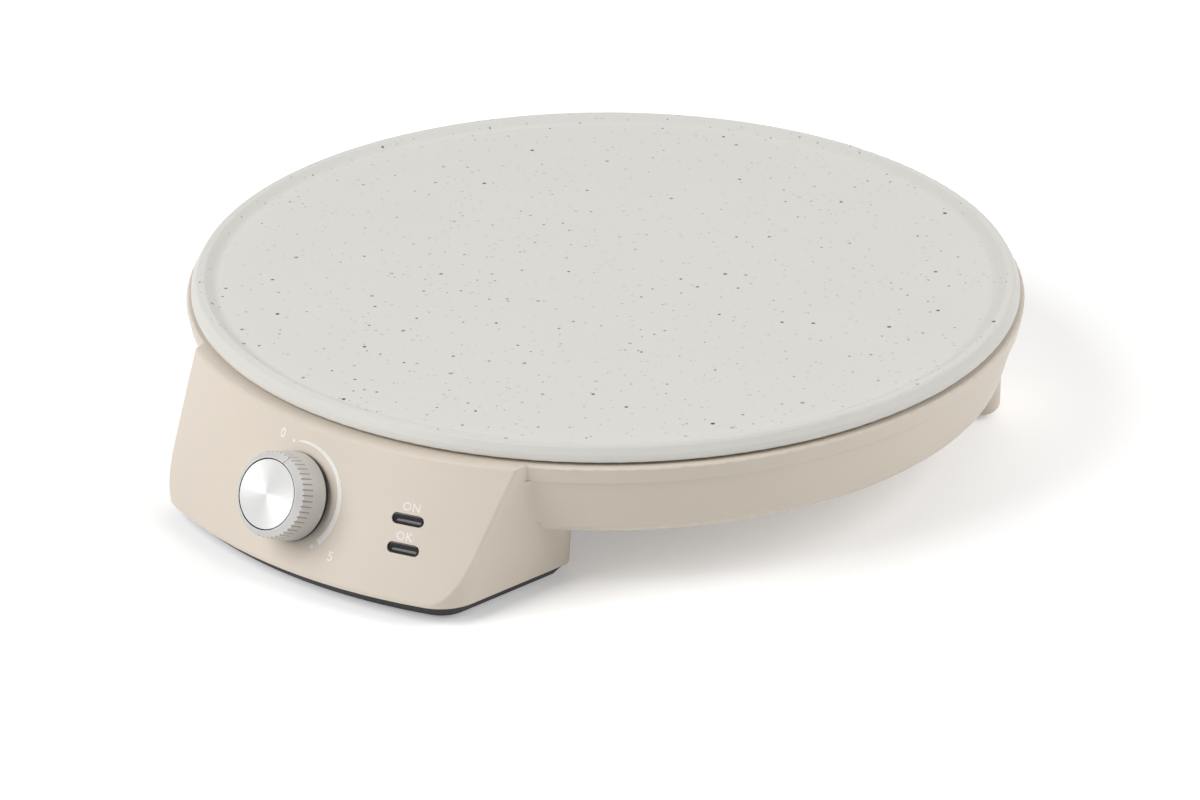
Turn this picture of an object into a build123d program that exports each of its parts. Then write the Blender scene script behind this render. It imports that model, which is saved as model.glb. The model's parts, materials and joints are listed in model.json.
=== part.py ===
from build123d import *

import os
from math import asin, atan, cos, degrees, radians, sin, sqrt, tan

# Electric crepe maker: a round heated plate on a shallow housing with a control pod in front.
#
# Units are millimetres.  +Z is up and the table is at Z = 0.  The pod faces -Y.  Everything is built
# about the plate's axis at X = Y = 0, and moved along Y at the end, so that the origin ends up under
# the middle of the whole object.

# ---------------------------------------------------------------- clearances
SEAT = 0.1             # between pieces that are seated on each other in one body
FREE = 0.3             # between pieces that are only close to each other
RUNNING = 0.05         # radial clearance of the turning spindle
THREAD = 0.05          # radial clearance of a screw in the hole that it is driven into
PAST = 1.0             # how far a cutter runs past what it cuts
SMALLEST_ROUND = 1.0   # corner of an outline that is inset by more than its own round

# ---------------------------------------------------------------- heights above the table
RIM_HEIGHT = 60.0      # crest of the plate's rim
FOOT_LIFT = 1.5        # plastic above the table, on its rubber pads
COVER_HEIGHT = 5.5     # base cover, below the housing's lower edge
BOWL_FLOOR = 24.0      # underside of the bowl
POD_BASE = FOOT_LIFT + COVER_HEIGHT

# ---------------------------------------------------------------- hot plate
RIM_CREST_R = 150.0    # half of the plate's 300 mm, measured at the rim's crest
RIM_CREST_WIDTH = 2.8
RIM_SIDE_RUN = 3.6     # crest out to the plate's widest radius
RIM_RISE = 2.6         # crest above the cooking surface
RIM_SLOPE_RUN = 3.8    # radial run of the rim's inner slope
RIM_SLOPE_ROUND = 4.0  # hollow round where that slope meets the cooking surface
RIM_INNER_ROUND = 1.4
RIM_OUTER_ROUND = 1.6
RIM_SIDE_ROUND = 3.0
RIM_EDGE_ROUND = 0.5
UNDERSIDE_ROUND = 1.0
PLATE_THICKNESS = 5.0
EDGE_HEIGHT = 5.5      # crest down to the lower edge of the rim
RIM_OVERHANG = 7.0     # rim beyond the part of the plate that drops into the housing
PLATE_GAP = 1.1        # air gap between the rim's lower edge and the flange
PLATE_R = RIM_CREST_R + RIM_SIDE_RUN
UNDERSIDE_R = PLATE_R - RIM_OVERHANG
SURFACE = RIM_HEIGHT - RIM_RISE
UNDERSIDE = SURFACE - PLATE_THICKNESS

# ---------------------------------------------------------------- housing: bowl and flange
WALL = 2.5
FLANGE_PROUD = 1.9     # flange beyond the plate
PLATE_ROOM = 2.8       # round the part of the plate that drops in
BAND_HEIGHT = 6.1
BAND_DRAFT = 0.9       # the band's foot is this much inside its top
BAND_ROUND = 0.8       # upper edge of the band
BAND_STEP = 0.7        # ledge from the band's foot in to the bowl's wall
BOWL_TAPER = 6.3       # the bowl's foot is this much inside the top of its wall
BOWL_FOOT_ROUND = 6.0
FLANGE_R = PLATE_R + FLANGE_PROUD
FLANGE_OPENING_R = UNDERSIDE_R + PLATE_ROOM
FLANGE_TOP = RIM_HEIGHT - EDGE_HEIGHT - PLATE_GAP
BAND_FOOT = FLANGE_TOP - BAND_HEIGHT
BAND_FOOT_R = FLANGE_R - BAND_DRAFT
BOWL_TOP_R = BAND_FOOT_R - BAND_STEP
BOWL_FOOT_R = BOWL_TOP_R - BOWL_TAPER

# ---------------------------------------------------------------- housing: control pod
PANEL_LEDGE = 3.3      # ledge between the flange's edge and the top of the sloping panel
PANEL_RUN = 21.4       # how far the panel slopes out, down to the housing's lower edge
LIP_HEIGHT = 1.2       # upright lip below the panel
POD_DEPTH = 72.2       # from the front of the panel's foot back to the pod's rear wall
POD_REAR_HALF_WIDTH = 77.7
POD_SIDE_FLARE = 8.7   # degrees, sides open towards the rear
POD_SIDE_LEAN = 4.0    # degrees, sides open upwards
POD_CORNER_R = 16.0
POD_REAR_CORNER_R = 7.0
POD_EDGE_ROUND = 1.2
POD_BLEND_R = 8.0      # hollow round between the pod's sides and the bowl
POD_BLEND_REACH = 0.56 * POD_BLEND_R
POD_ROOT_SHARE = 0.83  # share of the panel's radius behind which the sides meet the bowl
PANEL_TOP_R = FLANGE_R + PANEL_LEDGE
PANEL_FOOT_R = PANEL_TOP_R + PANEL_RUN
PANEL_HEIGHT = FLANGE_TOP - POD_BASE
PANEL_ANGLE = degrees(atan(PANEL_RUN / PANEL_HEIGHT))
POD_REAR_Y = PANEL_FOOT_R - POD_DEPTH   # rear wall's distance in front of the plate's axis
LIP_FRONT_R = PANEL_FOOT_R - LIP_HEIGHT * tan(radians(PANEL_ANGLE))

# ---------------------------------------------------------------- rear legs and pads
LEG_ANGLE = 48.0       # degrees either side of the rear
LEG_PROUD = 0.4        # leg beyond the bowl's foot
LEG_DEPTH = 24.0
LEG_WIDTH = 36.0
LEG_CORNER_R = 8.0
LEG_FOOT_ROUND = 4.0
LEG_CENTRE_R = BOWL_FOOT_R + LEG_PROUD - LEG_DEPTH / 2
PAD_RECESS = 1.2
REAR_PAD_R = 6.0
FRONT_PAD_R = 8.0
FRONT_PAD_INSIDE = 33.7    # inside the pod's side
FRONT_PAD_FROM_EDGE = 22.0
PAD_EDGE = 0.4

# ---------------------------------------------------------------- heating element
ELEMENT_R = 0.6133 * RIM_CREST_R
TUBE_R = 3.25
TUBE_DROP = 3.5           # tube's centre below the plate's underside
CHANNEL_WALL = 2.6
ELEMENT_GAP_ANGLE = 20.0  # degrees either side of the front where the ring ends
ELEMENT_BEND_R = 12.0
ELEMENT_END_Y = POD_REAR_Y + 14.0   # where both ends stop, in front of the plate's axis
SEAL_LENGTH = 5.0
TAB_WIDTH = 6.3
TAB_THICKNESS = 0.8
TAB_LENGTH = 8.0
TAB_HOLE_R = 0.8
CHANNEL_END_ROOM = 3.0    # round the tube's bends, where the channel stops
TUBE_Z = UNDERSIDE - TUBE_DROP
CLIP_ANGLES = (35.0, 90.0, 145.0, 215.0, 325.0)
CLIP_WIDTH = 8.0
CLIP_THICKNESS = 0.8
CLIP_MARGIN = 1.0         # strap beyond its screw's head
CLIP_REACH = 20.0         # from the tube's ring in to the clip's screw

# ---------------------------------------------------------------- plate fixings
FIXING_R = ELEMENT_R + 16.0
FIXING_ANGLES = (45.0, 135.0, 225.0, 315.0)
FIXING_POST_R = 6.5
FIXING_HEAD_R = 4.2
FIXING_HEAD_HEIGHT = 3.0
FIXING_HEAD_DEPTH = 4.2   # head's seat above the bowl's underside
FIXING_SHANK_R = 2.0
FIXING_GRIP = 6.0         # thread inside the plate's boss
POST_HEIGHT = 8.5         # post above the bowl's underside
WASHER_R = 6.0
WASHER_THICKNESS = 1.0
SPACER_R = 4.5
PLATE_BOSS_R = 7.0
PLATE_BOSS_HEIGHT = 6.0
POST_TOP = BOWL_FLOOR + POST_HEIGHT
SHIELD_BASE = POST_TOP + WASHER_THICKNESS
BOSS_FACE = UNDERSIDE - PLATE_BOSS_HEIGHT
HEAD_SEAT = BOWL_FLOOR + FIXING_HEAD_DEPTH

# ---------------------------------------------------------------- heat shield
SHIELD_R = BOWL_FOOT_R - 9.6
SHIELD_THICKNESS = 0.8
SHIELD_LIP = 5.0
SHIELD_FRONT_Y = POD_REAR_Y + 5.0   # straight front edge, in front of the plate's axis
SHIELD_TOP = SHIELD_BASE + SHIELD_THICKNESS
UNDER_ELEMENT = (TUBE_Z - TUBE_R + SHIELD_TOP) / 2   # wires cross between the tube and the shield

# ---------------------------------------------------------------- small screws of the plate
PLATE_SCREW_R = 1.5
PLATE_SCREW_HEAD_R = 3.0
PLATE_SCREW_HEAD = 2.0
PLATE_SCREW_GRIP = 4.0
SMALL_BOSS_R = 4.0
SLOT_WIDTH = 1.0
SLOT_DEPTH = 0.6
HEX_R = 1.9               # socket of the long screws
CROSS_LENGTH = 3.4
CROSS_WIDTH = 0.8
CROSS_DEPTH = 1.4

# ---------------------------------------------------------------- knob
KNOB_Z = 30.4             # height at which the knob's axis meets the panel
KNOB_LIFT = 1.0           # gap between the knob's foot and the panel
KNOB_FOOT_R = 15.7
KNOB_SHOULDER_R = 15.0
KNOB_SHOULDER = 12.9      # height of the shoulder above the panel
KNOB_HEIGHT = 15.0
CAP_R = 12.2
CAP_GAP = 0.3
CAP_THICKNESS = 1.0
CAP_PROUD = 0.1
KNOB_LAND = 0.35          # narrow face between the cap's gap and the bevel
KNOB_SKIN = 1.8
KNOB_ROOF = 2.2
KNOB_HUB_R = 5.4
KNOB_HUB_FOOT = 4.2
KNOB_RIBS = 4
KNOB_RIB_THICKNESS = 1.2
KNOB_RIB_RISE = 2.0       # ribs start this much above the hub's foot
CAP_EDGE = 0.2
GROOVE_COUNT = 48
GROOVE_R = 0.3
GROOVE_LENGTH = 6.0
GROOVE_DEPTH = 0.4
POINTER_CLOCK = 17.0      # degrees clockwise from the panel's up direction, at rest
POINTER_WIDTH = 0.5
POINTER_DEPTH = 0.25
SPRING_THICKNESS = 0.5
SPRING_WIDTH = 3.2
SPRING_LENGTH = 5.5

# ---------------------------------------------------------------- thermostat
SEAT_DEPTH = 4.0          # inner seat of the thermostat behind the panel's outer face
SPOT_DEPTH = 0.4
SPOT_R = 8.9
BUSH_R = 4.9
BUSH_PROUD = 3.2
NUT_FLATS = 14.0
NUT_THICKNESS = 2.7
SPINDLE_R = 3.0
SPINDLE_FLAT = 1.5        # D flat's distance from the spindle's axis
SPINDLE_DEPTH = 12.0      # spindle's inner end behind the panel
SPINDLE_TOP = 11.6
SPINDLE_FLAT_FROM = BUSH_PROUD + 0.4
CASE_WIDTH = 34.0
CASE_HEIGHT = 27.0
CASE_RISE = 1.5           # case's middle above the axis, up the panel
CASE_DEPTH = 22.0
CASE_CORNER_R = 2.0
CASE_EDGE = 1.0
CASE_TAB_PITCH = 10.0
CASE_TAB_RISE = 4.0
PIN_R = 1.5               # anti-turn pin of the case, in the seat
PIN_OFFSET = 10.0
CASE_BACK = SEAT_DEPTH + CASE_DEPTH

# ---------------------------------------------------------------- capillary and sensor bulb
BULB_R = 2.5
BULB_LENGTH = 50.0
BULB_Y = ELEMENT_R - 34.0 # in front of the plate's axis
BULB_SCREW_BEHIND = 12.0
CAPILLARY_R = 0.9
CAPILLARY_OUT = 8.0       # straight run from each end
CAPILLARY_DIP = 16.0      # length over which it drops from the bulb to pass under the element
CAPILLARY_BEND = 3.0

# ---------------------------------------------------------------- thermal fuse
FUSE_R = 2.0
FUSE_LENGTH = 12.0
FUSE_LEAD_R = 0.4
FUSE_LEAD = 4.0
SLEEVE_WALL = 0.7
SLEEVE_LENGTH = 18.0
FUSE_BESIDE = 13.5        # beside the heating element's end
FUSE_X = ELEMENT_R * sin(radians(ELEMENT_GAP_ANGLE)) + FUSE_BESIDE
FUSE_Y = POD_REAR_Y + 11.0
FUSE_SCREW_BEHIND = 11.0

# ---------------------------------------------------------------- indicator windows
WINDOW_AZIMUTH = 15.85    # degrees round the plate's axis from the pod's middle
WINDOW_Z = 28.6           # height of the middle between the two windows, on the panel
WINDOW_PITCH = 10.1
WINDOW_LENGTH = 12.2
WINDOW_WIDTH = 3.9
LENS_SINK = 0.7           # lens face behind the panel's outer face
LENS_FLANGE = 1.0
LENS_FLANGE_THICKNESS = 1.0
LENS_SEAT = 3.1           # flange's front behind the panel's outer face
HOLDER_WIDTH = 18.0
HOLDER_HEIGHT = 22.0
HOLDER_DEPTH = 9.0
HOLDER_FLOOR = 1.5
HOLDER_EAR = 7.0
HOLDER_EAR_THICKNESS = 2.0
HOLDER_SCREW_X = 12.5
HOLDER_BOSS_R = 2.6
HOLDER_SCREW_R = 1.0
HOLDER_SCREW_HEAD_R = 2.0
HOLDER_SCREW_HEAD = 1.4
HOLDER_SCREW_TIP = 2.0    # tip behind the panel's outer face
LAMP_R = 1.6
LAMP_LENGTH = 5.0
LAMP_NOSE_R = 1.2
HOLDER_FRONT = LENS_SEAT + LENS_FLANGE_THICKNESS + SEAT

# ---------------------------------------------------------------- base cover
COVER_INSET = 0.6         # upper edge inside the housing's outer face
COVER_BEVEL = 5.0         # the bevel's foot is this much further in
COVER_FLOOR = 2.5
COVER_RIM = 6.5           # pocket's wall inside the housing's outer face
SPIGOT_HEIGHT = 2.2
SPIGOT_WALL = 1.8
SPIGOT_ROOT = 2.0         # spigot's thicker root below the cover's upper edge
REAR_POST_INSIDE = 14.7   # inside the pod's side
REAR_POST_AHEAD = 14.0    # in front of the pod's rear wall
FRONT_POST_INSIDE = 19.7
FRONT_POST_AHEAD = 39.0
REAR_POST_X = POD_REAR_HALF_WIDTH - REAR_POST_INSIDE
REAR_POST_Y = -POD_REAR_Y - REAR_POST_AHEAD
FRONT_POST_X = POD_REAR_HALF_WIDTH - FRONT_POST_INSIDE
FRONT_POST_Y = -POD_REAR_Y - FRONT_POST_AHEAD
COVER_POSTS = (
    (REAR_POST_X, REAR_POST_Y),
    (-REAR_POST_X, REAR_POST_Y),
    (FRONT_POST_X, FRONT_POST_Y),
    (-FRONT_POST_X, FRONT_POST_Y),
)
COVER_RIB_TURNS = (0.0, 180.0, -45.0, -135.0)   # each post's rib, in degrees from +X towards +Y
COVER_POST_R = 4.2
PEDESTAL_R = 5.2          # on the cover's floor, under each post
COVER_POST_LIFT = 4.8     # post's foot above the cover's underside
COVER_HEAD_R = 2.9
COVER_HEAD_HEIGHT = 1.8
COVER_SHANK_R = 1.45
COVER_SHANK_LENGTH = 11.0
COVER_POST_TOP = 20.0
COVER_RIB = 2.0
COVER_RIB_LENGTH = 24.0   # long enough to pass the pod's wall, which it is trimmed to
COVER_RIB_FROM = SPIGOT_HEIGHT + 2.0
COVER_TOP = FOOT_LIFT + COVER_FLOOR
COVER_POST_FOOT = FOOT_LIFT + COVER_POST_LIFT

# ---------------------------------------------------------------- cord inlet
INLET_INSIDE = 43.7       # inside the pod's left side
INLET_X = INLET_INSIDE - POD_REAR_HALF_WIDTH
INLET_Z = 16.4
INLET_HOLE_R = 5.2
INLET_FLANGE_R = 6.8
INLET_FLANGE = 1.5
INLET_BORE_R = 3.6

# ---------------------------------------------------------------- terminal block and wires
BLOCK_INSIDE = 33.7       # inside the pod's left side
BLOCK_AHEAD = 26.0        # in front of the pod's rear wall
BLOCK_X = BLOCK_INSIDE - POD_REAR_HALF_WIDTH
BLOCK_Y = -POD_REAR_Y - BLOCK_AHEAD
BLOCK_WIDTH = 24.0
BLOCK_DEPTH = 14.0
BLOCK_HEIGHT = 13.0
BLOCK_PITCH = 7.5
BLOCK_CORNER_R = 1.0
BLOCK_SCREW_R = 1.6
BLOCK_SCREW_LENGTH = 4.6
BLOCK_SCREW_DEPTH = 5.0   # screw's foot below the block's top
BLOCK_SCREW_AHEAD = 3.5
BLOCK_ENTRY = 4.0         # wires enter this far below the block's top
WIRE_R = 1.3
LEAD_R = 0.8
WIRE_BEND = 2.0
WIRE_OUT = 6.0            # straight run from each end before the first bend
SPADE_WALL = 0.8          # round the tab that it is pushed onto
SPADE_LENGTH = 9.0
EARTH_X = -0.522 * ELEMENT_R
EARTH_Y = -0.587 * ELEMENT_R
EARTH_TAG_LENGTH = 12.0


# ================================================================= helpers
def rounded(sketch, rounds):
    """Round the corners of a flat outline: rounds is a list of ((x, y), radius)."""
    for corner, radius in rounds:
        nearest = sketch.vertices().sort_by_distance(Vector(*corner))[0]
        sketch = fillet(nearest, radius)
    return sketch


def turned(points, rounds=()):
    """Solid of revolution about the plate's axis from (radius, height) points."""
    outline = rounded(make_face(Polyline(*points, close=True)), rounds)
    return revolve(Plane.XZ * outline, Axis.Z)


def rod(radius, length, start=0.0):
    """Upright cylinder from start to start + length."""
    return Pos(0, 0, start) * Cylinder(radius, length, align=(Align.CENTER, Align.CENTER, Align.MIN))


def block(width, depth, height, start=0.0):
    """Upright box centred on its axis, from start to start + height."""
    low = (Align.CENTER, Align.CENTER, Align.MIN)
    return Pos(0, 0, start) * Box(width, depth, height, align=low)


def tube(radius, inner, length, start=0.0):
    """Upright hollow cylinder."""
    return rod(radius, length, start) - rod(inner, length + 2 * PAST, start - PAST)


def screw_hole(radius, thickness, start):
    """Cutter for a clearance hole through a thickness, for a screw of a radius."""
    return rod(radius + SEAT, thickness + 2 * PAST, start - PAST)


def at_angle(angle, radius, shape):
    """Place a shape at a radius and an angle, counted from +X towards +Y."""
    return Rot(0, 0, angle) * Pos(radius, 0, 0) * shape


def group(shapes):
    """One node of several separate solids."""
    return Compound(children=list(shapes))


def wire(points, radius, bend):
    """Round wire along straight runs joined by bends."""
    path = FilletPolyline(*points, radius=bend)
    start = Plane(origin=path @ 0, z_dir=path % 0)
    return sweep(start * Circle(radius), path=path)


def panel_radius(height, inset=0.0):
    """Radius of the sloping panel at a height, inset square to its face."""
    slope = radians(PANEL_ANGLE)
    return PANEL_FOOT_R - (height - POD_BASE) * tan(slope) - inset / cos(slope)


def panel_plane(azimuth, height):
    """Plane on the panel's outer face: X to the right, Y up the slope, Z outwards."""
    turn = radians(azimuth)
    slope = radians(PANEL_ANGLE)
    radius = panel_radius(height)
    outwards = Vector(sin(turn) * cos(slope), -cos(turn) * cos(slope), sin(slope))
    return Plane(
        origin=(radius * sin(turn), -radius * cos(turn), height),
        x_dir=(cos(turn), sin(turn), 0),
        z_dir=outwards,
    )


KNOB_PLANE = panel_plane(0.0, KNOB_Z)
WINDOW_PLANE = panel_plane(WINDOW_AZIMUTH, WINDOW_Z)


def knob_point(across, up, out):
    """A point given in the knob's plane, in the part's frame."""
    return KNOB_PLANE.from_local_coords(Vector(across, up, out))


# ================================================================= hot plate and what it carries
def hot_plate():
    """Plate with its rim, the element's channel and the bosses underneath."""
    crest_out = RIM_CREST_R + RIM_CREST_WIDTH / 2
    crest_in = RIM_CREST_R - RIM_CREST_WIDTH / 2
    slope_foot = crest_in - RIM_SLOPE_RUN
    edge = RIM_HEIGHT - EDGE_HEIGHT
    shoulder = edge + EDGE_HEIGHT / 3
    body = turned(
        [
            (0, UNDERSIDE),
            (UNDERSIDE_R, UNDERSIDE),
            (UNDERSIDE_R, edge),
            (PLATE_R, edge),
            (PLATE_R, shoulder),
            (crest_out, RIM_HEIGHT),
            (crest_in, RIM_HEIGHT),
            (slope_foot, SURFACE),
            (0, SURFACE),
        ],
        [
            ((UNDERSIDE_R, UNDERSIDE), UNDERSIDE_ROUND),
            ((PLATE_R, edge), RIM_EDGE_ROUND),
            ((PLATE_R, shoulder), RIM_SIDE_ROUND),
            ((crest_out, RIM_HEIGHT), RIM_OUTER_ROUND),
            ((crest_in, RIM_HEIGHT), RIM_INNER_ROUND),
            ((slope_foot, SURFACE), RIM_SLOPE_ROUND),
        ],
    )
    groove_r = TUBE_R + SEAT
    channel_foot = TUBE_Z - TUBE_R + 2 * SEAT
    ridge = tube(
        ELEMENT_R + groove_r + CHANNEL_WALL,
        ELEMENT_R - groove_r - CHANNEL_WALL,
        UNDERSIDE - channel_foot + SEAT,
        channel_foot,
    )
    gap = 2 * (ELEMENT_R * sin(radians(ELEMENT_GAP_ANGLE)) + CHANNEL_END_ROOM)
    front = block(gap, 4 * ELEMENT_BEND_R, UNDERSIDE - channel_foot, channel_foot)
    ridge -= Pos(0, -ELEMENT_R, 0) * front
    body += ridge
    body -= Pos(0, 0, TUBE_Z) * Torus(ELEMENT_R, groove_r)
    mouth_foot = channel_foot - PAST
    body -= tube(ELEMENT_R + groove_r, ELEMENT_R - groove_r, TUBE_Z - mouth_foot, mouth_foot)
    for angle in FIXING_ANGLES:
        boss = rod(PLATE_BOSS_R, PLATE_BOSS_HEIGHT + SEAT, BOSS_FACE)
        body += at_angle(angle, FIXING_R, boss)
        bore = rod(FIXING_SHANK_R + THREAD, FIXING_GRIP + PAST, BOSS_FACE - PAST)
        body -= at_angle(angle, FIXING_R, bore)
    for place, depth in plate_screw_places():
        body += Pos(*place) * rod(SMALL_BOSS_R, depth + SEAT, UNDERSIDE - depth)
        bore = rod(PLATE_SCREW_R + THREAD, PLATE_SCREW_GRIP + PAST, UNDERSIDE - depth - PAST)
        body -= Pos(*place) * bore
    return body


CLIP_BOSS = TUBE_DROP + TUBE_R + SEAT     # clips lie flat under the tube
BULB_BOSS = 2 * BULB_R - SEAT
BULB_SCREW = (0.0, -BULB_Y + BULB_SCREW_BEHIND)
SLEEVE_R = FUSE_R + SEAT + SLEEVE_WALL
FUSE_BOSS = 2 * SLEEVE_R - SEAT
FUSE_SCREW = (FUSE_X, -FUSE_Y + FUSE_SCREW_BEHIND)
EARTH_BOSS = 4.0


def clip_screw_place(angle):
    """Screw of an element clip, inside the tube's ring."""
    reach = ELEMENT_R - CLIP_REACH
    return (reach * cos(radians(angle)), reach * sin(radians(angle)))


def plate_screw_places():
    """Every small screw of the plate: its (x, y) and its boss's height."""
    clips = [(clip_screw_place(angle), CLIP_BOSS) for angle in CLIP_ANGLES]
    others = [(BULB_SCREW, BULB_BOSS), (FUSE_SCREW, FUSE_BOSS), ((EARTH_X, EARTH_Y), EARTH_BOSS)]
    return clips + others


def plate_screws_small():
    """Screws of the clips, the bulb clip, the fuse clip and the earth tag."""
    screws = []
    for place, depth in plate_screw_places():
        seat = UNDERSIDE - depth - CLIP_THICKNESS
        head = rod(PLATE_SCREW_HEAD_R, PLATE_SCREW_HEAD, seat - PLATE_SCREW_HEAD)
        shank = rod(PLATE_SCREW_R, CLIP_THICKNESS + PLATE_SCREW_GRIP - SEAT, seat)
        slot_foot = seat - PLATE_SCREW_HEAD - PAST
        slot = block(SLOT_WIDTH, 2 * PLATE_SCREW_HEAD_R + PAST, SLOT_DEPTH + PAST, slot_foot)
        screws.append(Pos(*place) * (head + shank - slot))
    return group(screws)


def element_end(side):
    """Start of the straight end on one side: (x, y)."""
    gap = radians(ELEMENT_GAP_ANGLE)
    turn = radians(90 - ELEMENT_GAP_ANGLE)
    run = ELEMENT_BEND_R * sin(turn)
    drop = ELEMENT_BEND_R * (1 - cos(turn))
    x = ELEMENT_R * sin(gap) - run * cos(gap) + drop * sin(gap)
    y = -ELEMENT_R * cos(gap) - run * sin(gap) - drop * cos(gap)
    return side * x, y


def heating_element():
    """Sheathed tube: one turn with both ends bent forward."""
    turn = 90 - ELEMENT_GAP_ANGLE
    x, y = element_end(1)
    first = Line((x, -ELEMENT_END_Y), (x, y))
    bend_in = JernArc(start=first @ 1, tangent=(0, 1), radius=ELEMENT_BEND_R, arc_size=-turn)
    ring = CenterArc((0, 0), ELEMENT_R, -90 + ELEMENT_GAP_ANGLE, 360 - 2 * ELEMENT_GAP_ANGLE)
    bend_out = JernArc(start=ring @ 1, tangent=ring % 1, radius=ELEMENT_BEND_R, arc_size=-turn)
    last = Line(bend_out @ 1, (-x, -ELEMENT_END_Y))
    path = Curve() + [first, bend_in, ring, bend_out, last]
    start = Plane(origin=first @ 0, z_dir=(0, 1, 0))
    return Pos(0, 0, TUBE_Z) * sweep(start * Circle(TUBE_R), path=path.wire())


def element_place(side, forward):
    """Location on an element end's axis, its Z forward, a distance beyond the tube's end."""
    x, _ = element_end(side)
    return Location(Plane(origin=(x, -ELEMENT_END_Y - forward, TUBE_Z), x_dir=(1, 0, 0), z_dir=(0, -1, 0)))


def element_seals():
    """Insulating bead in each end of the tube."""
    return group(element_place(side, 0) * rod(TUBE_R, SEAL_LENGTH) for side in (1, -1))


def element_tabs():
    """Push-on tab beyond each seal."""
    tab = block(TAB_WIDTH, TAB_THICKNESS, TAB_LENGTH)
    tab -= Pos(0, 0, TAB_LENGTH / 2) * Rot(90, 0, 0) * Cylinder(TAB_HOLE_R, 2 * TAB_THICKNESS)
    return group(element_place(side, SEAL_LENGTH) * tab for side in (1, -1))


def element_clips():
    """Flat steel clips that hold the tube up in its channel."""
    clips = []
    seat = UNDERSIDE - CLIP_BOSS - CLIP_THICKNESS
    for angle in CLIP_ANGLES:
        inner = ELEMENT_R - CLIP_REACH - CLIP_WIDTH / 2
        outer = ELEMENT_R + TUBE_R
        strap = Pos((inner + outer) / 2, 0, 0) * block(outer - inner, CLIP_WIDTH, CLIP_THICKNESS, seat)
        hole = screw_hole(PLATE_SCREW_R, CLIP_THICKNESS, seat)
        clips.append(Rot(0, 0, angle) * (strap - Pos(ELEMENT_R - CLIP_REACH, 0, 0) * hole))
    return group(clips)


def heat_shield():
    """Thin metal dish under the element, on the housing's posts."""
    dish = rod(SHIELD_R, SHIELD_THICKNESS, SHIELD_BASE)
    dish += tube(SHIELD_R, SHIELD_R - SHIELD_THICKNESS, SHIELD_LIP, SHIELD_BASE)
    front = block(4 * SHIELD_R, 2 * SHIELD_R, 4 * SHIELD_LIP, SHIELD_BASE - SHIELD_LIP)
    dish -= Pos(0, -SHIELD_FRONT_Y - SHIELD_R, 0) * front
    for angle in FIXING_ANGLES:
        dish -= at_angle(angle, FIXING_R, screw_hole(FIXING_SHANK_R, SHIELD_THICKNESS, SHIELD_BASE))
    return dish


def plate_spacers():
    """Sleeves round the long screws, between the shield and the plate's bosses."""
    sleeve = tube(SPACER_R, FIXING_SHANK_R + SEAT, BOSS_FACE - SHIELD_TOP, SHIELD_TOP)
    return group(at_angle(angle, FIXING_R, sleeve) for angle in FIXING_ANGLES)


def insulating_washers():
    """Washers between the housing's posts and the shield."""
    washer = tube(WASHER_R, FIXING_SHANK_R + SEAT, WASHER_THICKNESS, POST_TOP)
    return group(at_angle(angle, FIXING_R, washer) for angle in FIXING_ANGLES)


def plate_screws():
    """Long screws from under the bowl up into the plate's bosses."""
    head = rod(FIXING_HEAD_R, FIXING_HEAD_HEIGHT, HEAD_SEAT - FIXING_HEAD_HEIGHT)
    socket_foot = HEAD_SEAT - FIXING_HEAD_HEIGHT
    socket = extrude(Pos(0, 0, socket_foot) * RegularPolygon(HEX_R, 6), FIXING_HEAD_HEIGHT / 2)
    shank = rod(FIXING_SHANK_R, BOSS_FACE + FIXING_GRIP - SEAT - HEAD_SEAT, HEAD_SEAT)
    screw = head + shank - socket
    return group(at_angle(angle, FIXING_R, screw) for angle in FIXING_ANGLES)


# ================================================================= sensor bulb, capillary and fuse
BULB_Z = UNDERSIDE - BULB_R - SEAT / 2


def sensor_bulb():
    """Thermostat's bulb, against the plate's underside."""
    return Pos(0, -BULB_Y, BULB_Z) * Rot(0, 90, 0) * Cylinder(BULB_R, BULB_LENGTH)


def strap_clip(place, across, rod_r, boss, centre_z, length):
    """Strap that hugs a round piece lying along X, with a foot under its screw's boss."""
    inner = rod_r + SEAT
    outer = inner + CLIP_THICKNESS
    seat = UNDERSIDE - boss
    low = seat - CLIP_THICKNESS
    cradle = Rot(0, 90, 0) * (Cylinder(outer, length) - Cylinder(inner, length + 2 * PAST))
    cradle = Pos(place[0], across, centre_z) * cradle
    cradle -= Pos(place[0], across, centre_z) * block(length + 2 * PAST, 4 * outer, 4 * outer)
    near = across + inner
    far = place[1] + PLATE_SCREW_HEAD_R + CLIP_MARGIN
    foot = Pos(place[0], (near + far) / 2, 0) * block(length, far - near, CLIP_THICKNESS, low)
    foot -= Pos(*place) * screw_hole(PLATE_SCREW_R, CLIP_THICKNESS, low)
    web = Pos(place[0], (inner + outer) / 2 + across, 0) * block(length, CLIP_THICKNESS, centre_z - low, low)
    return cradle + web + foot


def bulb_clip():
    """Strap round the sensor bulb."""
    return strap_clip(BULB_SCREW, -BULB_Y, BULB_R, BULB_BOSS, BULB_Z, CLIP_WIDTH)


SLEEVE_Z = UNDERSIDE - SLEEVE_R - SEAT / 2


def thermal_fuse():
    """Fuse with a lead at each end."""
    fuse = Cylinder(FUSE_R, FUSE_LENGTH) + Cylinder(FUSE_LEAD_R, FUSE_LENGTH + 2 * FUSE_LEAD)
    return Pos(FUSE_X, -FUSE_Y, SLEEVE_Z) * Rot(0, 90, 0) * fuse


def fuse_sleeve():
    """Woven glass sleeve round the fuse."""
    sleeve = Cylinder(SLEEVE_R, SLEEVE_LENGTH) - Cylinder(FUSE_R + SEAT, 2 * SLEEVE_LENGTH)
    return Pos(FUSE_X, -FUSE_Y, SLEEVE_Z) * Rot(0, 90, 0) * sleeve


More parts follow.
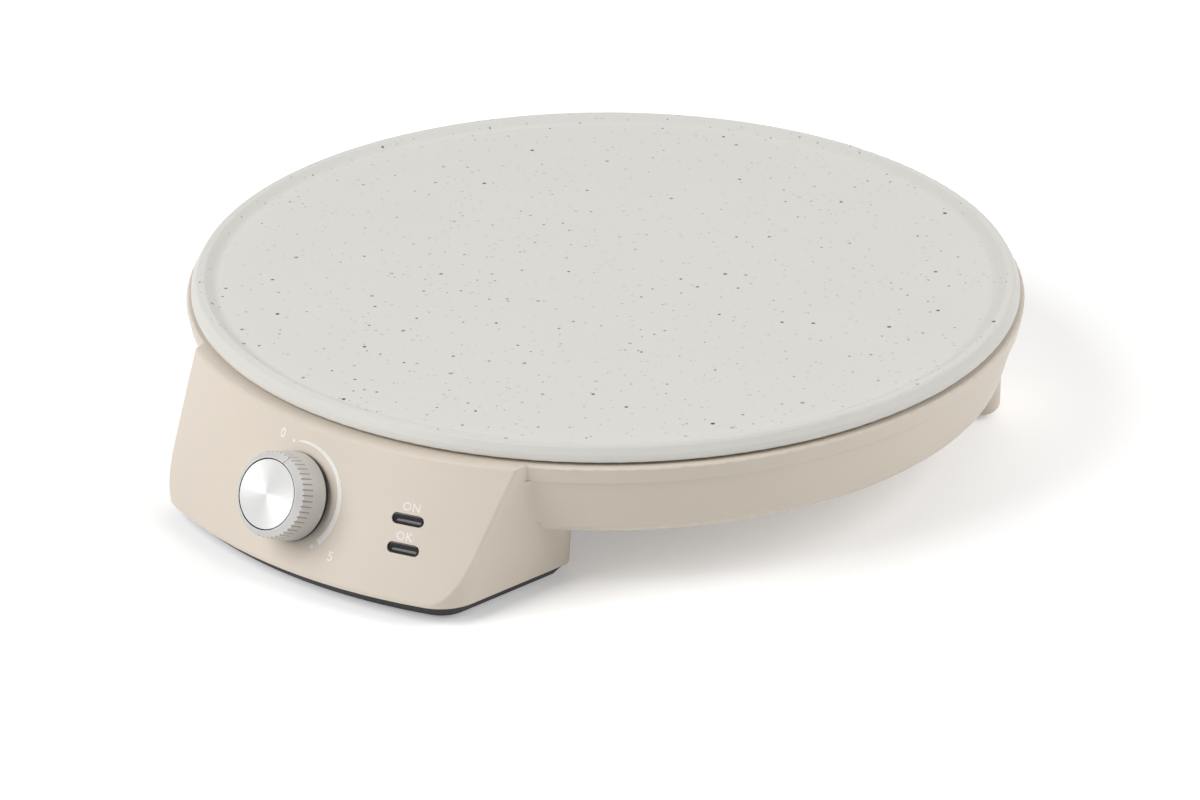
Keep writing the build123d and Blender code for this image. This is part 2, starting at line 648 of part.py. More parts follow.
def fuse_clip():
    """Strap round the fuse's sleeve."""
    return strap_clip(FUSE_SCREW, -FUSE_Y, SLEEVE_R, FUSE_BOSS, SLEEVE_Z, CLIP_WIDTH)


def capillary_tube():
    """From the bulb's end, under the element, down to the thermostat's back."""
    start = Vector(-BULB_LENGTH / 2 - SEAT, -BULB_Y, BULB_Z)
    end = knob_point(-CASE_WIDTH / 4, -CASE_HEIGHT / 4, -CASE_BACK - SEAT)
    behind = end - KNOB_PLANE.z_dir * CAPILLARY_OUT
    drop_y = -POD_REAR_Y - CAPILLARY_OUT
    points = [
        start,
        start + Vector(-CAPILLARY_OUT, 0, 0),
        Vector(start.X - CAPILLARY_OUT - CAPILLARY_BEND, -BULB_Y - CAPILLARY_DIP, UNDER_ELEMENT),
        Vector(2 * end.X, drop_y, UNDER_ELEMENT),
        Vector(2 * end.X, drop_y, COVER_TOP + CAPILLARY_OUT / 2),
        behind,
        end,
    ]
    return wire(points, CAPILLARY_R, CAPILLARY_BEND)


# ================================================================= housing
def pod_sketch(inset, spread=0.0):
    """Pod's outline without the panel's slope: inset all round, the sides spread outwards."""
    flare = radians(POD_SIDE_FLARE)
    rear = -POD_REAR_Y - inset
    front = -PANEL_FOOT_R - 3 * POD_CORNER_R
    half_rear = POD_REAR_HALF_WIDTH + (spread - inset) / cos(flare) - inset * tan(flare)
    half_front = half_rear - (rear - front) * tan(flare)
    trapezium = Polyline(
        (half_rear, rear), (half_front, front), (-half_front, front), (-half_rear, rear), close=True
    )
    radius = LIP_FRONT_R - inset
    outline = make_face(trapezium) & Circle(radius)
    low = outline.vertices().sort_by(Axis.Y)
    outline = fillet(low[0:2], max(POD_CORNER_R - inset, SMALLEST_ROUND))
    high = outline.vertices().sort_by(Axis.Y)
    return fillet(high[-2:], max(POD_REAR_CORNER_R - inset, SMALLEST_ROUND))


def pod_prism(inset, low, high):
    """Upright pod walls between two heights, leaning outwards as they rise."""
    lean = tan(radians(POD_SIDE_LEAN))
    foot = Pos(0, 0, low) * pod_sketch(inset, (low - POD_BASE) * lean)
    head = Pos(0, 0, high) * pod_sketch(inset, (high - POD_BASE) * lean)
    return loft([foot, head], ruled=True)


def panel_cone(inset, low, high):
    """Everything inside the sloping panel's face, between two heights."""
    return turned([(0, low), (panel_radius(low, inset), low), (panel_radius(high, inset), high), (0, high)])


def pod_outside():
    """Pod's outer form with its edges rounded."""
    pod = pod_prism(0, POD_BASE, FLANGE_TOP) & panel_cone(0, POD_BASE, FLANGE_TOP)
    crease = [edge for edge in pod.edges() if is_pod_crease(edge)]
    return fillet(crease, POD_EDGE_ROUND)


def is_pod_crease(edge):
    """True for the edges round the sloping panel, which are all in front of the bowl."""
    middle = edge @ 0.5
    on_panel = abs(sqrt(middle.X**2 + middle.Y**2) - panel_radius(middle.Z)) < SEAT / 2
    return on_panel and middle.Z > POD_BASE + FREE and middle.Y < -PANEL_TOP_R / 2


def bowl_outside():
    """Solid bowl with the flange's band round its top."""
    return turned(
        [
            (0, BOWL_FLOOR),
            (BOWL_FOOT_R, BOWL_FLOOR),
            (BOWL_TOP_R, BAND_FOOT),
            (BAND_FOOT_R, BAND_FOOT),
            (FLANGE_R, FLANGE_TOP),
            (0, FLANGE_TOP),
        ],
        [((BOWL_FOOT_R, BOWL_FLOOR), BOWL_FOOT_ROUND), ((FLANGE_R, FLANGE_TOP), BAND_ROUND)],
    )


def bowl_cavity():
    """Everything inside the bowl's wall, and the opening that the plate drops into."""
    ledge = FLANGE_TOP - WALL
    return turned(
        [
            (0, BOWL_FLOOR + WALL),
            (BOWL_FOOT_R - WALL, BOWL_FLOOR + WALL),
            (BOWL_TOP_R - WALL, BAND_FOOT),
            (BOWL_TOP_R - WALL, ledge),
            (FLANGE_OPENING_R, ledge),
            (FLANGE_OPENING_R, RIM_HEIGHT),
            (0, RIM_HEIGHT),
        ],
        [((BOWL_FOOT_R - WALL, BOWL_FLOOR + WALL), BOWL_FOOT_ROUND - WALL)],
    )


def pod_cavity():
    """Everything inside the pod's wall, open below."""
    low = POD_BASE - PAST
    high = FLANGE_TOP - WALL
    return pod_prism(WALL, low, high) & panel_cone(WALL, low, high)


def leg_places():
    """Rear legs, each turned so that its X points outwards."""
    return [Rot(0, 0, 90 + side * LEG_ANGLE) * Pos(LEG_CENTRE_R, 0, 0) for side in (1, -1)]


def leg_outside():
    """Solid leg with rounded corners and a rounded foot."""
    leg = extrude(RectangleRounded(LEG_DEPTH, LEG_WIDTH, LEG_CORNER_R), BOWL_FLOOR + BOWL_FOOT_ROUND)
    leg -= block(2 * LEG_DEPTH, 2 * LEG_WIDTH, FOOT_LIFT + PAST, -PAST)
    return fillet(leg.faces().sort_by(Axis.Z)[0].edges(), LEG_FOOT_ROUND)


def leg_cavity():
    """Hollow of a leg, open into the bowl."""
    floor = FOOT_LIFT + PAD_RECESS + WALL
    inner = RectangleRounded(LEG_DEPTH - 2 * WALL, LEG_WIDTH - 2 * WALL, LEG_CORNER_R - WALL)
    return Pos(0, 0, floor) * extrude(inner, BOWL_FLOOR + WALL + PAST - floor)


def cover_post_ribs():
    """Ribs that tie the cover's posts to the pod's walls."""
    foot = POD_BASE + COVER_RIB_FROM
    rib = Pos(COVER_RIB_LENGTH / 2, 0, 0) * block(COVER_RIB_LENGTH, COVER_RIB, COVER_POST_TOP - foot, foot)
    return [Pos(x, y, 0) * Rot(0, 0, turn) * rib for (x, y), turn in zip(COVER_POSTS, COVER_RIB_TURNS)]


def housing():
    """Bowl, flange, pod and rear legs in one moulding."""
    outside = bowl_and_pod()
    for place in leg_places():
        outside += place * leg_outside()
    shell = outside - bowl_cavity() - pod_cavity()
    for place in leg_places():
        shell -= place * leg_cavity()
        shell -= place * rod(REAR_PAD_R + SEAT, PAD_RECESS + PAST, FOOT_LIFT - PAST)
    head_room = rod(FIXING_HEAD_R + SEAT, FIXING_HEAD_DEPTH + PAST, BOWL_FLOOR - PAST)
    for angle in FIXING_ANGLES:
        shell += at_angle(angle, FIXING_R, rod(FIXING_POST_R, POST_HEIGHT, BOWL_FLOOR))
        shell -= at_angle(angle, FIXING_R, head_room)
        shell -= at_angle(angle, FIXING_R, screw_hole(FIXING_SHANK_R, POST_HEIGHT, BOWL_FLOOR))
    return housing_inside(shell)


def bowl_and_pod():
    """Bowl and pod with a hollow round between them, up to the foot of the flange's band."""
    bowl = bowl_outside()
    pod = pod_outside()
    below_band = block(4 * PANEL_FOOT_R, 4 * PANEL_FOOT_R, BAND_FOOT)
    low = (bowl & below_band) + (pod & below_band)
    blended = fillet([edge for edge in low.edges() if is_pod_root(edge)], POD_BLEND_R)
    beside_pod = block(2 * POD_CORNER_R, BOWL_FOOT_R, FLANGE_TOP)
    right = blended & blend_limit() & Pos(POD_REAR_HALF_WIDTH, -PANEL_TOP_R, 0) * beside_pod
    return bowl + pod + right + mirror(right, about=Plane.YZ)


def blend_limit():
    """Cone above the bowl's foot that cuts off the lower end of the hollow round."""
    reach = POD_BLEND_REACH
    return turned(
        [
            (0, BOWL_FLOOR),
            (BOWL_FOOT_R - reach, BOWL_FLOOR),
            (BOWL_FOOT_R + 1.5 * reach, BOWL_FLOOR + 2 * reach),
            (BOWL_TOP_R + reach, BAND_FOOT),
            (0, BAND_FOOT),
        ]
    )


def is_pod_root(edge):
    """True for the edges where the pod's sides meet the bowl's wall."""
    middle = edge @ 0.5
    upright = BOWL_FLOOR + SEAT < middle.Z < BAND_FOOT - SEAT
    beside = abs(middle.X) > POD_REAR_HALF_WIDTH - POD_REAR_CORNER_R
    return upright and beside and -panel_radius(BAND_FOOT) * POD_ROOT_SHARE < middle.Y < -POD_REAR_Y


def housing_inside(shell):
    """Seats, posts and holes of the housing."""
    seat = block(CASE_WIDTH, CASE_HEIGHT, SEAT_DEPTH - WALL / 2, -SEAT_DEPTH)
    within = [Location(KNOB_PLANE) * Pos(0, CASE_RISE, 0) * seat]
    for side in (1, -1):
        boss = rod(HOLDER_BOSS_R, HOLDER_FRONT, -HOLDER_FRONT)
        within.append(Location(WINDOW_PLANE) * Pos(side * HOLDER_SCREW_X, 0, 0) * boss)
    for x, y in COVER_POSTS:
        within.append(Pos(x, y, 0) * rod(COVER_POST_R, COVER_POST_TOP - COVER_POST_FOOT, COVER_POST_FOOT))
    within += cover_post_ribs()
    inside = WALL / 2
    limit = pod_prism(inside, FOOT_LIFT, FLANGE_TOP) & panel_cone(inside, FOOT_LIFT, FLANGE_TOP)
    for piece in within:
        shell += piece & limit
    for x, y in COVER_POSTS:
        shell -= Pos(x, y, 0) * rod(COVER_SHANK_R + THREAD, COVER_SHANK_LENGTH, COVER_POST_FOOT - PAST)
    knob_holes = rod(BUSH_R + SEAT, 4 * SEAT_DEPTH, -2 * SEAT_DEPTH)
    knob_holes += rod(SPOT_R, SEAT_DEPTH, -SPOT_DEPTH)
    knob_holes += Pos(0, PIN_OFFSET, 0) * rod(PIN_R + SEAT, SEAT_DEPTH, -SEAT_DEPTH - PAST)
    shell -= Location(KNOB_PLANE) * knob_holes
    for up in (WINDOW_PITCH / 2, -WINDOW_PITCH / 2):
        slot = extrude(SlotOverall(WINDOW_LENGTH, WINDOW_WIDTH), 8 * WALL)
        shell -= Location(WINDOW_PLANE) * Pos(0, up, -4 * WALL) * slot
    for side in (1, -1):
        bore = rod(HOLDER_SCREW_R + THREAD, HOLDER_FRONT - PAST / 2, -HOLDER_FRONT - PAST)
        shell -= Location(WINDOW_PLANE) * Pos(side * HOLDER_SCREW_X, 0, 0) * bore
    shell -= Pos(INLET_X, -POD_REAR_Y, INLET_Z) * Rot(90, 0, 0) * Cylinder(INLET_HOLE_R, 4 * WALL)
    return shell


# ================================================================= base cover, pads and inlet
def base_cover():
    """Black tray under the pod with a bevelled edge and a spigot that enters the housing."""
    foot = Pos(0, 0, FOOT_LIFT) * pod_sketch(COVER_INSET + COVER_BEVEL)
    head = Pos(0, 0, POD_BASE) * pod_sketch(COVER_INSET)
    cover = loft([foot, head], ruled=True)
    pocket = Pos(0, 0, COVER_TOP) * extrude(pod_sketch(COVER_RIM), COVER_HEIGHT)
    cover -= pocket
    spigot_inset = WALL + FREE
    spigot = pod_sketch(spigot_inset) - pod_sketch(spigot_inset + SPIGOT_WALL)
    base = pod_sketch(spigot_inset) - pod_sketch(COVER_RIM)
    within_panel = panel_cone(spigot_inset, COVER_TOP, FLANGE_TOP)
    cover += (Pos(0, 0, POD_BASE) * extrude(spigot, SPIGOT_HEIGHT)) & within_panel
    cover += Pos(0, 0, POD_BASE - SPIGOT_ROOT) * extrude(base, SPIGOT_ROOT)
    head_room = rod(COVER_HEAD_R + FREE, COVER_HEAD_HEIGHT + SEAT + PAST, FOOT_LIFT - PAST)
    for x, y in COVER_POSTS:
        cover += Pos(x, y, 0) * rod(PEDESTAL_R, COVER_POST_FOOT - COVER_TOP, COVER_TOP)
        cover -= Pos(x, y, 0) * head_room
        cover -= Pos(x, y, 0) * screw_hole(COVER_SHANK_R, COVER_HEIGHT, FOOT_LIFT)
    for x, y in front_pad_places():
        cover -= Pos(x, y, 0) * rod(FRONT_PAD_R + SEAT, PAD_RECESS + PAST, FOOT_LIFT - PAST)
    return cover


def base_screws():
    """Cross-headed screws from under the cover up into the housing's posts."""
    seat = FOOT_LIFT + COVER_HEAD_HEIGHT + SEAT
    head = rod(COVER_HEAD_R, COVER_HEAD_HEIGHT, seat - COVER_HEAD_HEIGHT)
    cross_foot = seat - COVER_HEAD_HEIGHT - PAST
    cross = block(CROSS_WIDTH, CROSS_LENGTH, CROSS_DEPTH + PAST, cross_foot)
    cross += block(CROSS_LENGTH, CROSS_WIDTH, CROSS_DEPTH + PAST, cross_foot)
    shank_length = COVER_POST_FOOT + COVER_SHANK_LENGTH - 2 * PAST - seat
    screw = head + rod(COVER_SHANK_R, shank_length, seat) - cross
    return group(Pos(x, y, 0) * screw for x, y in COVER_POSTS)


def front_pad_places():
    """Where the two pads lie under the panel."""
    radius = PANEL_FOOT_R - FRONT_PAD_FROM_EDGE
    x = POD_REAR_HALF_WIDTH - FRONT_PAD_INSIDE
    y = -sqrt(radius**2 - x**2)
    return [(x, y), (-x, y)]


def foot_pad(radius):
    """Rubber disc in its recess, standing on the table."""
    pad = rod(radius, FOOT_LIFT + PAD_RECESS)
    return chamfer(pad.faces().sort_by(Axis.Z)[0].edges(), PAD_EDGE)


def front_pads():
    """The two larger pads, under the pod."""
    return group(Pos(x, y, 0) * foot_pad(FRONT_PAD_R) for x, y in front_pad_places())


def rear_pads():
    """The two smaller pads, under the legs."""
    return group(place * foot_pad(REAR_PAD_R) for place in leg_places())


def inlet_bush():
    """Rubber bush in the pod's rear wall, a groove round its waist holds the wall."""
    waist = WALL + 2 * SEAT
    body = rod(INLET_HOLE_R - SEAT, waist + 2 * INLET_FLANGE)
    body += rod(INLET_FLANGE_R, INLET_FLANGE)
    body += rod(INLET_FLANGE_R, INLET_FLANGE, INLET_FLANGE + waist)
    body -= rod(INLET_BORE_R, waist + 4 * INLET_FLANGE, -INLET_FLANGE)
    start = -POD_REAR_Y + SEAT + INLET_FLANGE
    return Pos(INLET_X, start, INLET_Z) * Rot(90, 0, 0) * body


# ================================================================= thermostat and knob
def thermostat_case():
    """Case behind the panel, threaded bush through it, pin that stops it turning."""
    case = Pos(0, CASE_RISE, 0) * block(CASE_WIDTH, CASE_HEIGHT, CASE_DEPTH, -CASE_BACK)
    case = fillet(case.edges().filter_by(Axis.Z), CASE_CORNER_R)
    case = chamfer(case.faces().sort_by(Axis.Z)[0].edges(), CASE_EDGE)
    case += rod(BUSH_R, SEAT_DEPTH + BUSH_PROUD, -SEAT_DEPTH)
    case += Pos(0, PIN_OFFSET, 0) * rod(PIN_R, SEAT_DEPTH - WALL, -SEAT_DEPTH)
    case -= rod(SPINDLE_R + RUNNING, SPINDLE_DEPTH + BUSH_PROUD + PAST, -SPINDLE_DEPTH - SEAT)
    return Location(KNOB_PLANE) * case


def case_tab_place(index):
    """Location of a thermostat tab's root, its Z pointing away from the case."""
    place = knob_point(index * CASE_TAB_PITCH, CASE_TAB_RISE, -CASE_BACK - SEAT)
    return Location(Plane(origin=place, x_dir=KNOB_PLANE.x_dir, z_dir=-KNOB_PLANE.z_dir))


def thermostat_tabs():
    """Three push-on tabs on the back of the case."""
    tab = block(TAB_THICKNESS, TAB_WIDTH, TAB_LENGTH)
    return group(case_tab_place(index) * tab for index in (-1, 0, 1))


def thermostat_nut():
    """Hexagon nut that clamps the case's bush in the panel."""
    nut = extrude(RegularPolygon(NUT_FLATS / 2, 6, major_radius=False), NUT_THICKNESS)
    nut -= rod(BUSH_R + THREAD, NUT_THICKNESS + 2 * PAST, -PAST)
    return Location(KNOB_PLANE) * Pos(0, 0, -SPOT_DEPTH) * nut


def flat_side(shape, distance, low, high):
    """Cut a D flat, on the side away from the knob's pointer."""
    reach = 2 * SPINDLE_R
    cutter = Pos(0, -distance - reach / 2, 0) * block(2 * reach, reach, high - low, low)
    return shape - Rot(0, 0, -POINTER_CLOCK) * cutter


def thermostat_spindle():
    """Round spindle with a flat where the knob grips it."""
    spindle = rod(SPINDLE_R, SPINDLE_TOP + SPINDLE_DEPTH, -SPINDLE_DEPTH)
    spindle = flat_side(spindle, SPINDLE_FLAT, SPINDLE_FLAT_FROM, SPINDLE_TOP + PAST)
    return Location(KNOB_PLANE) * spindle


def knob_grooves():
    """Short grip grooves that start at the bevel and fade into the skirt."""
    tilt = degrees(asin(2 * GROOVE_DEPTH / GROOVE_LENGTH))
    cutters = []
    for index in range(GROOVE_COUNT):
        cutter = Rot(0, -tilt, 0) * rod(GROOVE_R, GROOVE_LENGTH + 3 * PAST, -GROOVE_LENGTH)
        place = Pos(KNOB_SHOULDER_R + GROOVE_R - GROOVE_DEPTH, 0, KNOB_SHOULDER)
        cutters.append(Rot(0, 0, 360 * index / GROOVE_COUNT) * place * cutter)
    return cutters


def knob_body():
    """Hollow knob: skirt, bevel, recess for the cap, hub and ribs."""
    recess_r = CAP_R + CAP_GAP
    land_r = recess_r + KNOB_LAND
    recess = KNOB_HEIGHT - CAP_THICKNESS + CAP_PROUD
    roof = recess - KNOB_ROOF
    knob = turned(
        [
            (0, KNOB_LIFT),
            (KNOB_FOOT_R, KNOB_LIFT),
            (KNOB_SHOULDER_R, KNOB_SHOULDER),
            (land_r, KNOB_HEIGHT),
            (recess_r, KNOB_HEIGHT),
            (recess_r, recess),
            (0, recess),
        ]
    )
    knob -= knob_grooves()
    knob -= rod(KNOB_SHOULDER_R - KNOB_SKIN, roof - KNOB_LIFT + PAST, KNOB_LIFT - PAST)
    knob += rod(KNOB_HUB_R, roof - KNOB_HUB_FOOT + SEAT, KNOB_HUB_FOOT)
    rib_foot = KNOB_HUB_FOOT + KNOB_RIB_RISE
    rib_length = 2 * (KNOB_SHOULDER_R - KNOB_SKIN / 2)
    rib = block(rib_length, KNOB_RIB_THICKNESS, roof - rib_foot + SEAT, rib_foot)
    for index in range(KNOB_RIBS // 2):
        knob += Rot(0, 0, 180 * index / (KNOB_RIBS // 2)) * rib
    bore_foot = KNOB_HUB_FOOT - PAST
    bore = rod(SPINDLE_R + SEAT, SPINDLE_TOP + FREE - bore_foot, bore_foot)
    spring_room = SPRING_THICKNESS + 2 * SEAT
    knob -= flat_side(bore, SPINDLE_FLAT + spring_room, bore_foot, SPINDLE_TOP + PAST)
    pointer = Pos(0, (land_r + KNOB_SHOULDER_R) / 2, (KNOB_HEIGHT + KNOB_SHOULDER) / 2)
    bevel = degrees(atan((KNOB_HEIGHT - KNOB_SHOULDER) / (KNOB_SHOULDER_R - land_r)))
    mark = pointer * Rot(-bevel, 0, 0) * Box(POINTER_WIDTH, 2 * (KNOB_SHOULDER_R - land_r), 2 * POINTER_DEPTH)
    knob -= Rot(0, 0, -POINTER_CLOCK) * mark
    return Location(KNOB_PLANE) * knob


def knob_cap():
    """Metal disc in the knob's recess."""
    cap = rod(CAP_R, CAP_THICKNESS, KNOB_HEIGHT - CAP_THICKNESS + CAP_PROUD)
    cap = chamfer(cap.faces().sort_by(Axis.Z)[-1].edges(), CAP_EDGE)
    return Location(KNOB_PLANE) * cap


def knob_spring():
    """Leaf between the spindle's flat and the hub."""
    leaf = Pos(0, -SPINDLE_FLAT - SEAT - SPRING_THICKNESS / 2, 0)
    leaf *= block(SPRING_WIDTH, SPRING_THICKNESS, SPRING_LENGTH, KNOB_HUB_FOOT + SEAT)
    return Location(KNOB_PLANE) * Rot(0, 0, -POINTER_CLOCK) * leaf


# ================================================================= indicator lamps
def indicator_lens(up):
    """Stadium lens in its window, with a flange behind the panel."""
    face = SlotOverall(WINDOW_LENGTH - 2 * SEAT, WINDOW_WIDTH - 2 * SEAT)
    back = SlotOverall(WINDOW_LENGTH + 2 * LENS_FLANGE, WINDOW_WIDTH + 2 * LENS_FLANGE)
    flange_back = LENS_SEAT + LENS_FLANGE_THICKNESS
    lens = Pos(0, 0, -flange_back) * extrude(face, flange_back - LENS_SINK)
    lens += Pos(0, 0, -flange_back) * extrude(back, LENS_FLANGE_THICKNESS)
    return Location(WINDOW_PLANE) * Pos(0, up, 0) * lens


def lamp_holder():
    """Block with two lamp pockets and an ear each side for its screws."""
    back = HOLDER_FRONT + HOLDER_DEPTH
    holder = block(HOLDER_WIDTH, HOLDER_HEIGHT, HOLDER_DEPTH, -back)
    ears = block(HOLDER_WIDTH + 2 * HOLDER_EAR, HOLDER_EAR, HOLDER_EAR_THICKNESS)
    holder += Pos(0, 0, -HOLDER_FRONT - HOLDER_EAR_THICKNESS) * ears
    for side in (1, -1):
        hole = rod(HOLDER_SCREW_R + SEAT, 2 * HOLDER_DEPTH, -back - HOLDER_DEPTH / 2)
        holder -= Pos(side * HOLDER_SCREW_X, 0, 0) * hole
        pocket = extrude(SlotOverall(WINDOW_LENGTH, WINDOW_WIDTH), HOLDER_DEPTH - HOLDER_FLOOR)
        holder -= Pos(0, side * WINDOW_PITCH / 2, -back + HOLDER_FLOOR) * pocket
        lead_hole = screw_hole(LEAD_R, HOLDER_FLOOR, -back)
        holder -= Pos(0, side * WINDOW_PITCH / 2, 0) * lead_hole
    return Location(WINDOW_PLANE) * holder


def lamp_place(side):
    """Location on the floor of a lamp's pocket, its Z towards the lens."""
    back = HOLDER_FRONT + HOLDER_DEPTH
    return Location(WINDOW_PLANE) * Pos(0, side * WINDOW_PITCH / 2, -back + HOLDER_FLOOR)


def neon_lamps():
    """Glass bulb behind each lens."""
    bulb = rod(LAMP_R, LAMP_LENGTH)
    bulb = fillet(bulb.faces().sort_by(Axis.Z)[-1].edges(), LAMP_NOSE_R)
    return group(lamp_place(side) * bulb for side in (1, -1))


def lamp_screws():
    """Screws through the holder's ears into the panel's bosses."""
    seat = HOLDER_FRONT + HOLDER_EAR_THICKNESS
    screw = rod(HOLDER_SCREW_HEAD_R, HOLDER_SCREW_HEAD, -seat - HOLDER_SCREW_HEAD)
    screw += rod(HOLDER_SCREW_R, seat - HOLDER_SCREW_TIP, -seat)
    place = Location(WINDOW_PLANE)
    return group(place * Pos(side * HOLDER_SCREW_X, 0, 0) * screw for side in (1, -1))


# ================================================================= terminal block and wires
BLOCK_TOP = COVER_TOP + BLOCK_HEIGHT


def terminal_block():
    """Moulded block for three wires, on the cover's floor."""
    body = Pos(BLOCK_X, BLOCK_Y, 0) * block(BLOCK_WIDTH, BLOCK_DEPTH, BLOCK_HEIGHT, COVER_TOP)
    body = fillet(body.edges().filter_by(Axis.Z), BLOCK_CORNER_R)
    for index in (-1, 0, 1):
        hole = rod(BLOCK_SCREW_R + SEAT, BLOCK_SCREW_DEPTH + PAST, BLOCK_TOP - BLOCK_SCREW_DEPTH)
        body -= Pos(BLOCK_X + index * BLOCK_PITCH, BLOCK_Y - BLOCK_SCREW_AHEAD, 0) * hole
    return body


def terminal_screws():
    """Slotted screws that clamp the wires in the block."""
    screws = []
    for index in (-1, 0, 1):
        foot = BLOCK_TOP - BLOCK_SCREW_DEPTH
        screw = rod(BLOCK_SCREW_R, BLOCK_SCREW_LENGTH, foot)
        slot_foot = foot + BLOCK_SCREW_LENGTH - SLOT_DEPTH
        screw -= block(SLOT_WIDTH, 2 * BLOCK_SCREW_R + PAST, SLOT_DEPTH + PAST, slot_foot)
        screws.append(Pos(BLOCK_X + index * BLOCK_PITCH, BLOCK_Y - BLOCK_SCREW_AHEAD, 0) * screw)
    return group(screws)


def block_exit(index):
    """Where a wire leaves the terminal block, on its rear face."""
    return Vector(BLOCK_X + index * BLOCK_PITCH, BLOCK_Y + BLOCK_DEPTH / 2 + SEAT, BLOCK_TOP - BLOCK_ENTRY)


def spade():
    """Push-on end of a wire, upright round a tab that lies along X."""
    sleeve = block(TAB_WIDTH + 2 * SPADE_WALL, TAB_THICKNESS + 2 * SPADE_WALL, SPADE_LENGTH, FREE)
    slot = block(TAB_WIDTH + 2 * SEAT, TAB_THICKNESS + 2 * SEAT, TAB_LENGTH + SEAT)
    return sleeve - slot


def on_tab(tab_place):
    """A wire's push-on end on a tab, and the point and direction in which the wire leaves it."""
    plane = Plane(tab_place)
    leave = plane.from_local_coords(Vector(0, 0, FREE + SPADE_LENGTH - SEAT))
    return tab_place * spade(), leave, plane.z_dir


def case_tab(index):
    """A wire's end on one of the thermostat's tabs."""
    return on_tab(case_tab_place(index) * Rot(0, 0, 90))


def element_tab(side):
    """A wire's end on one of the heating element's tabs."""
    return on_tab(element_place(side, SEAL_LENGTH))


def line_wire():
    """Terminal block to the thermostat."""
    push_on, leave, away = case_tab(-1)
    start = block_exit(1)
    points = [start, start + Vector(0, WIRE_OUT, 0), leave + away * 2 * WIRE_OUT, leave]
    return wire(points, WIRE_R, WIRE_BEND) + push_on


def fuse_feed_wire():
    """Thermostat to the thermal fuse."""
    push_on, leave, away = case_tab(1)
    end = Vector(FUSE_X + FUSE_LENGTH / 2 + FUSE_LEAD + SEAT, -FUSE_Y, SLEEVE_Z)
    beside = end + Vector(WIRE_OUT, 0, 0)
    points = [
        leave,
        leave + away * WIRE_OUT,
        Vector(2 * leave.X + WIRE_OUT, -FUSE_Y, BOWL_FLOOR + WALL),
        beside - Vector(0, 0, 1.5 * WIRE_OUT),
        beside,
        end,
    ]
    return wire(points, WIRE_R, WIRE_BEND) + push_on


def fuse_link_wire():
    """Thermal fuse to the element's right tab."""
    push_on, leave, away = element_tab(1)
    start = Vector(FUSE_X - FUSE_LENGTH / 2 - FUSE_LEAD - SEAT, -FUSE_Y, SLEEVE_Z)
    beside = start.X - 2 * WIRE_BEND - SEAT
    front = leave + away * (2 * WIRE_BEND + SEAT)
    points = [start, Vector(beside, start.Y, start.Z), Vector(beside, front.Y, front.Z), front, leave]
    return wire(points, WIRE_R, WIRE_BEND) + push_on


def neutral_wire():
    """Terminal block to the element's left tab."""
    push_on, leave, away = element_tab(-1)
    start = block_exit(0)
    points = [
        leave,
        leave + away * WIRE_OUT,
        Vector((start.X + leave.X) / 2, start.Y + WIRE_OUT, BOWL_FLOOR),
        start + Vector(0, 1.5 * WIRE_OUT, 0),
        start,
    ]
    return wire(points, WIRE_R, WIRE_BEND) + push_on


def earth_wire():
    """Terminal block to the earth tag on the plate, passing under the element."""
    start = block_exit(-1)
    behind = start + Vector(0, 1.5 * WIRE_OUT, 0)
    tag_z = UNDERSIDE - EARTH_BOSS - CLIP_THICKNESS - WIRE_R - SEAT
    tag_y = EARTH_Y - EARTH_TAG_LENGTH / 2
    inner_edge = ELEMENT_R - TUBE_R - CHANNEL_WALL - SEAT
    outer_edge = ELEMENT_R + TUBE_R + CHANNEL_WALL + SEAT
    points = [
        start,
        behind,
        Vector(behind.X, behind.Y, UNDER_ELEMENT),
        Vector(EARTH_X, -sqrt(outer_edge**2 - EARTH_X**2) - 2 * WIRE_OUT, UNDER_ELEMENT),
        Vector(EARTH_X, -sqrt(inner_edge**2 - EARTH_X**2), UNDER_ELEMENT),
        Vector(EARTH_X, tag_y - WIRE_OUT / 2, tag_z),
        Vector(EARTH_X, tag_y + WIRE_OUT / 6, tag_z),
    ]
    return wire(points, WIRE_R, WIRE_BEND)


def earth_tag():
    """Flat tag screwed to the plate's earth boss."""
    seat = UNDERSIDE - EARTH_BOSS - CLIP_THICKNESS
    tag = Pos(EARTH_X, EARTH_Y - EARTH_TAG_LENGTH / 2 + CLIP_WIDTH / 2, 0)
    tag *= block(CLIP_WIDTH, EARTH_TAG_LENGTH, CLIP_THICKNESS, seat)
    return tag - Pos(EARTH_X, EARTH_Y, 0) * screw_hole(PLATE_SCREW_R, CLIP_THICKNESS, seat)


def lamp_leads():
    """One lead from each lamp, along the cover's floor to the terminal block."""
    leads = []
    for side in (1, -1):
        start = lamp_place(side).position - WINDOW_PLANE.z_dir * SEAT
        behind = start - WINDOW_PLANE.z_dir * (WIRE_OUT + WIRE_BEND)
        across = BLOCK_Y + WIRE_BEND * side
        floor = COVER_TOP + LEAD_R + FREE
        end = Vector(BLOCK_X + BLOCK_WIDTH / 2 + SEAT, across, floor)
        points = [start, behind, Vector(behind.X - WIRE_OUT, across, floor), end]
        leads.append(wire(points, LEAD_R, WIRE_BEND))
    return group(leads)


# ================================================================= the whole object
def knob_reach():
    """How far the knob stands in front of the plate's axis."""
    slope = radians(PANEL_ANGLE)
    shoulder = KNOB_SHOULDER * cos(slope) + KNOB_SHOULDER_R * sin(slope)
    face = KNOB_HEIGHT * cos(slope) + (CAP_R + CAP_GAP + KNOB_LAND) * sin(slope)
    return panel_radius(KNOB_Z) + max(shoulder, face)


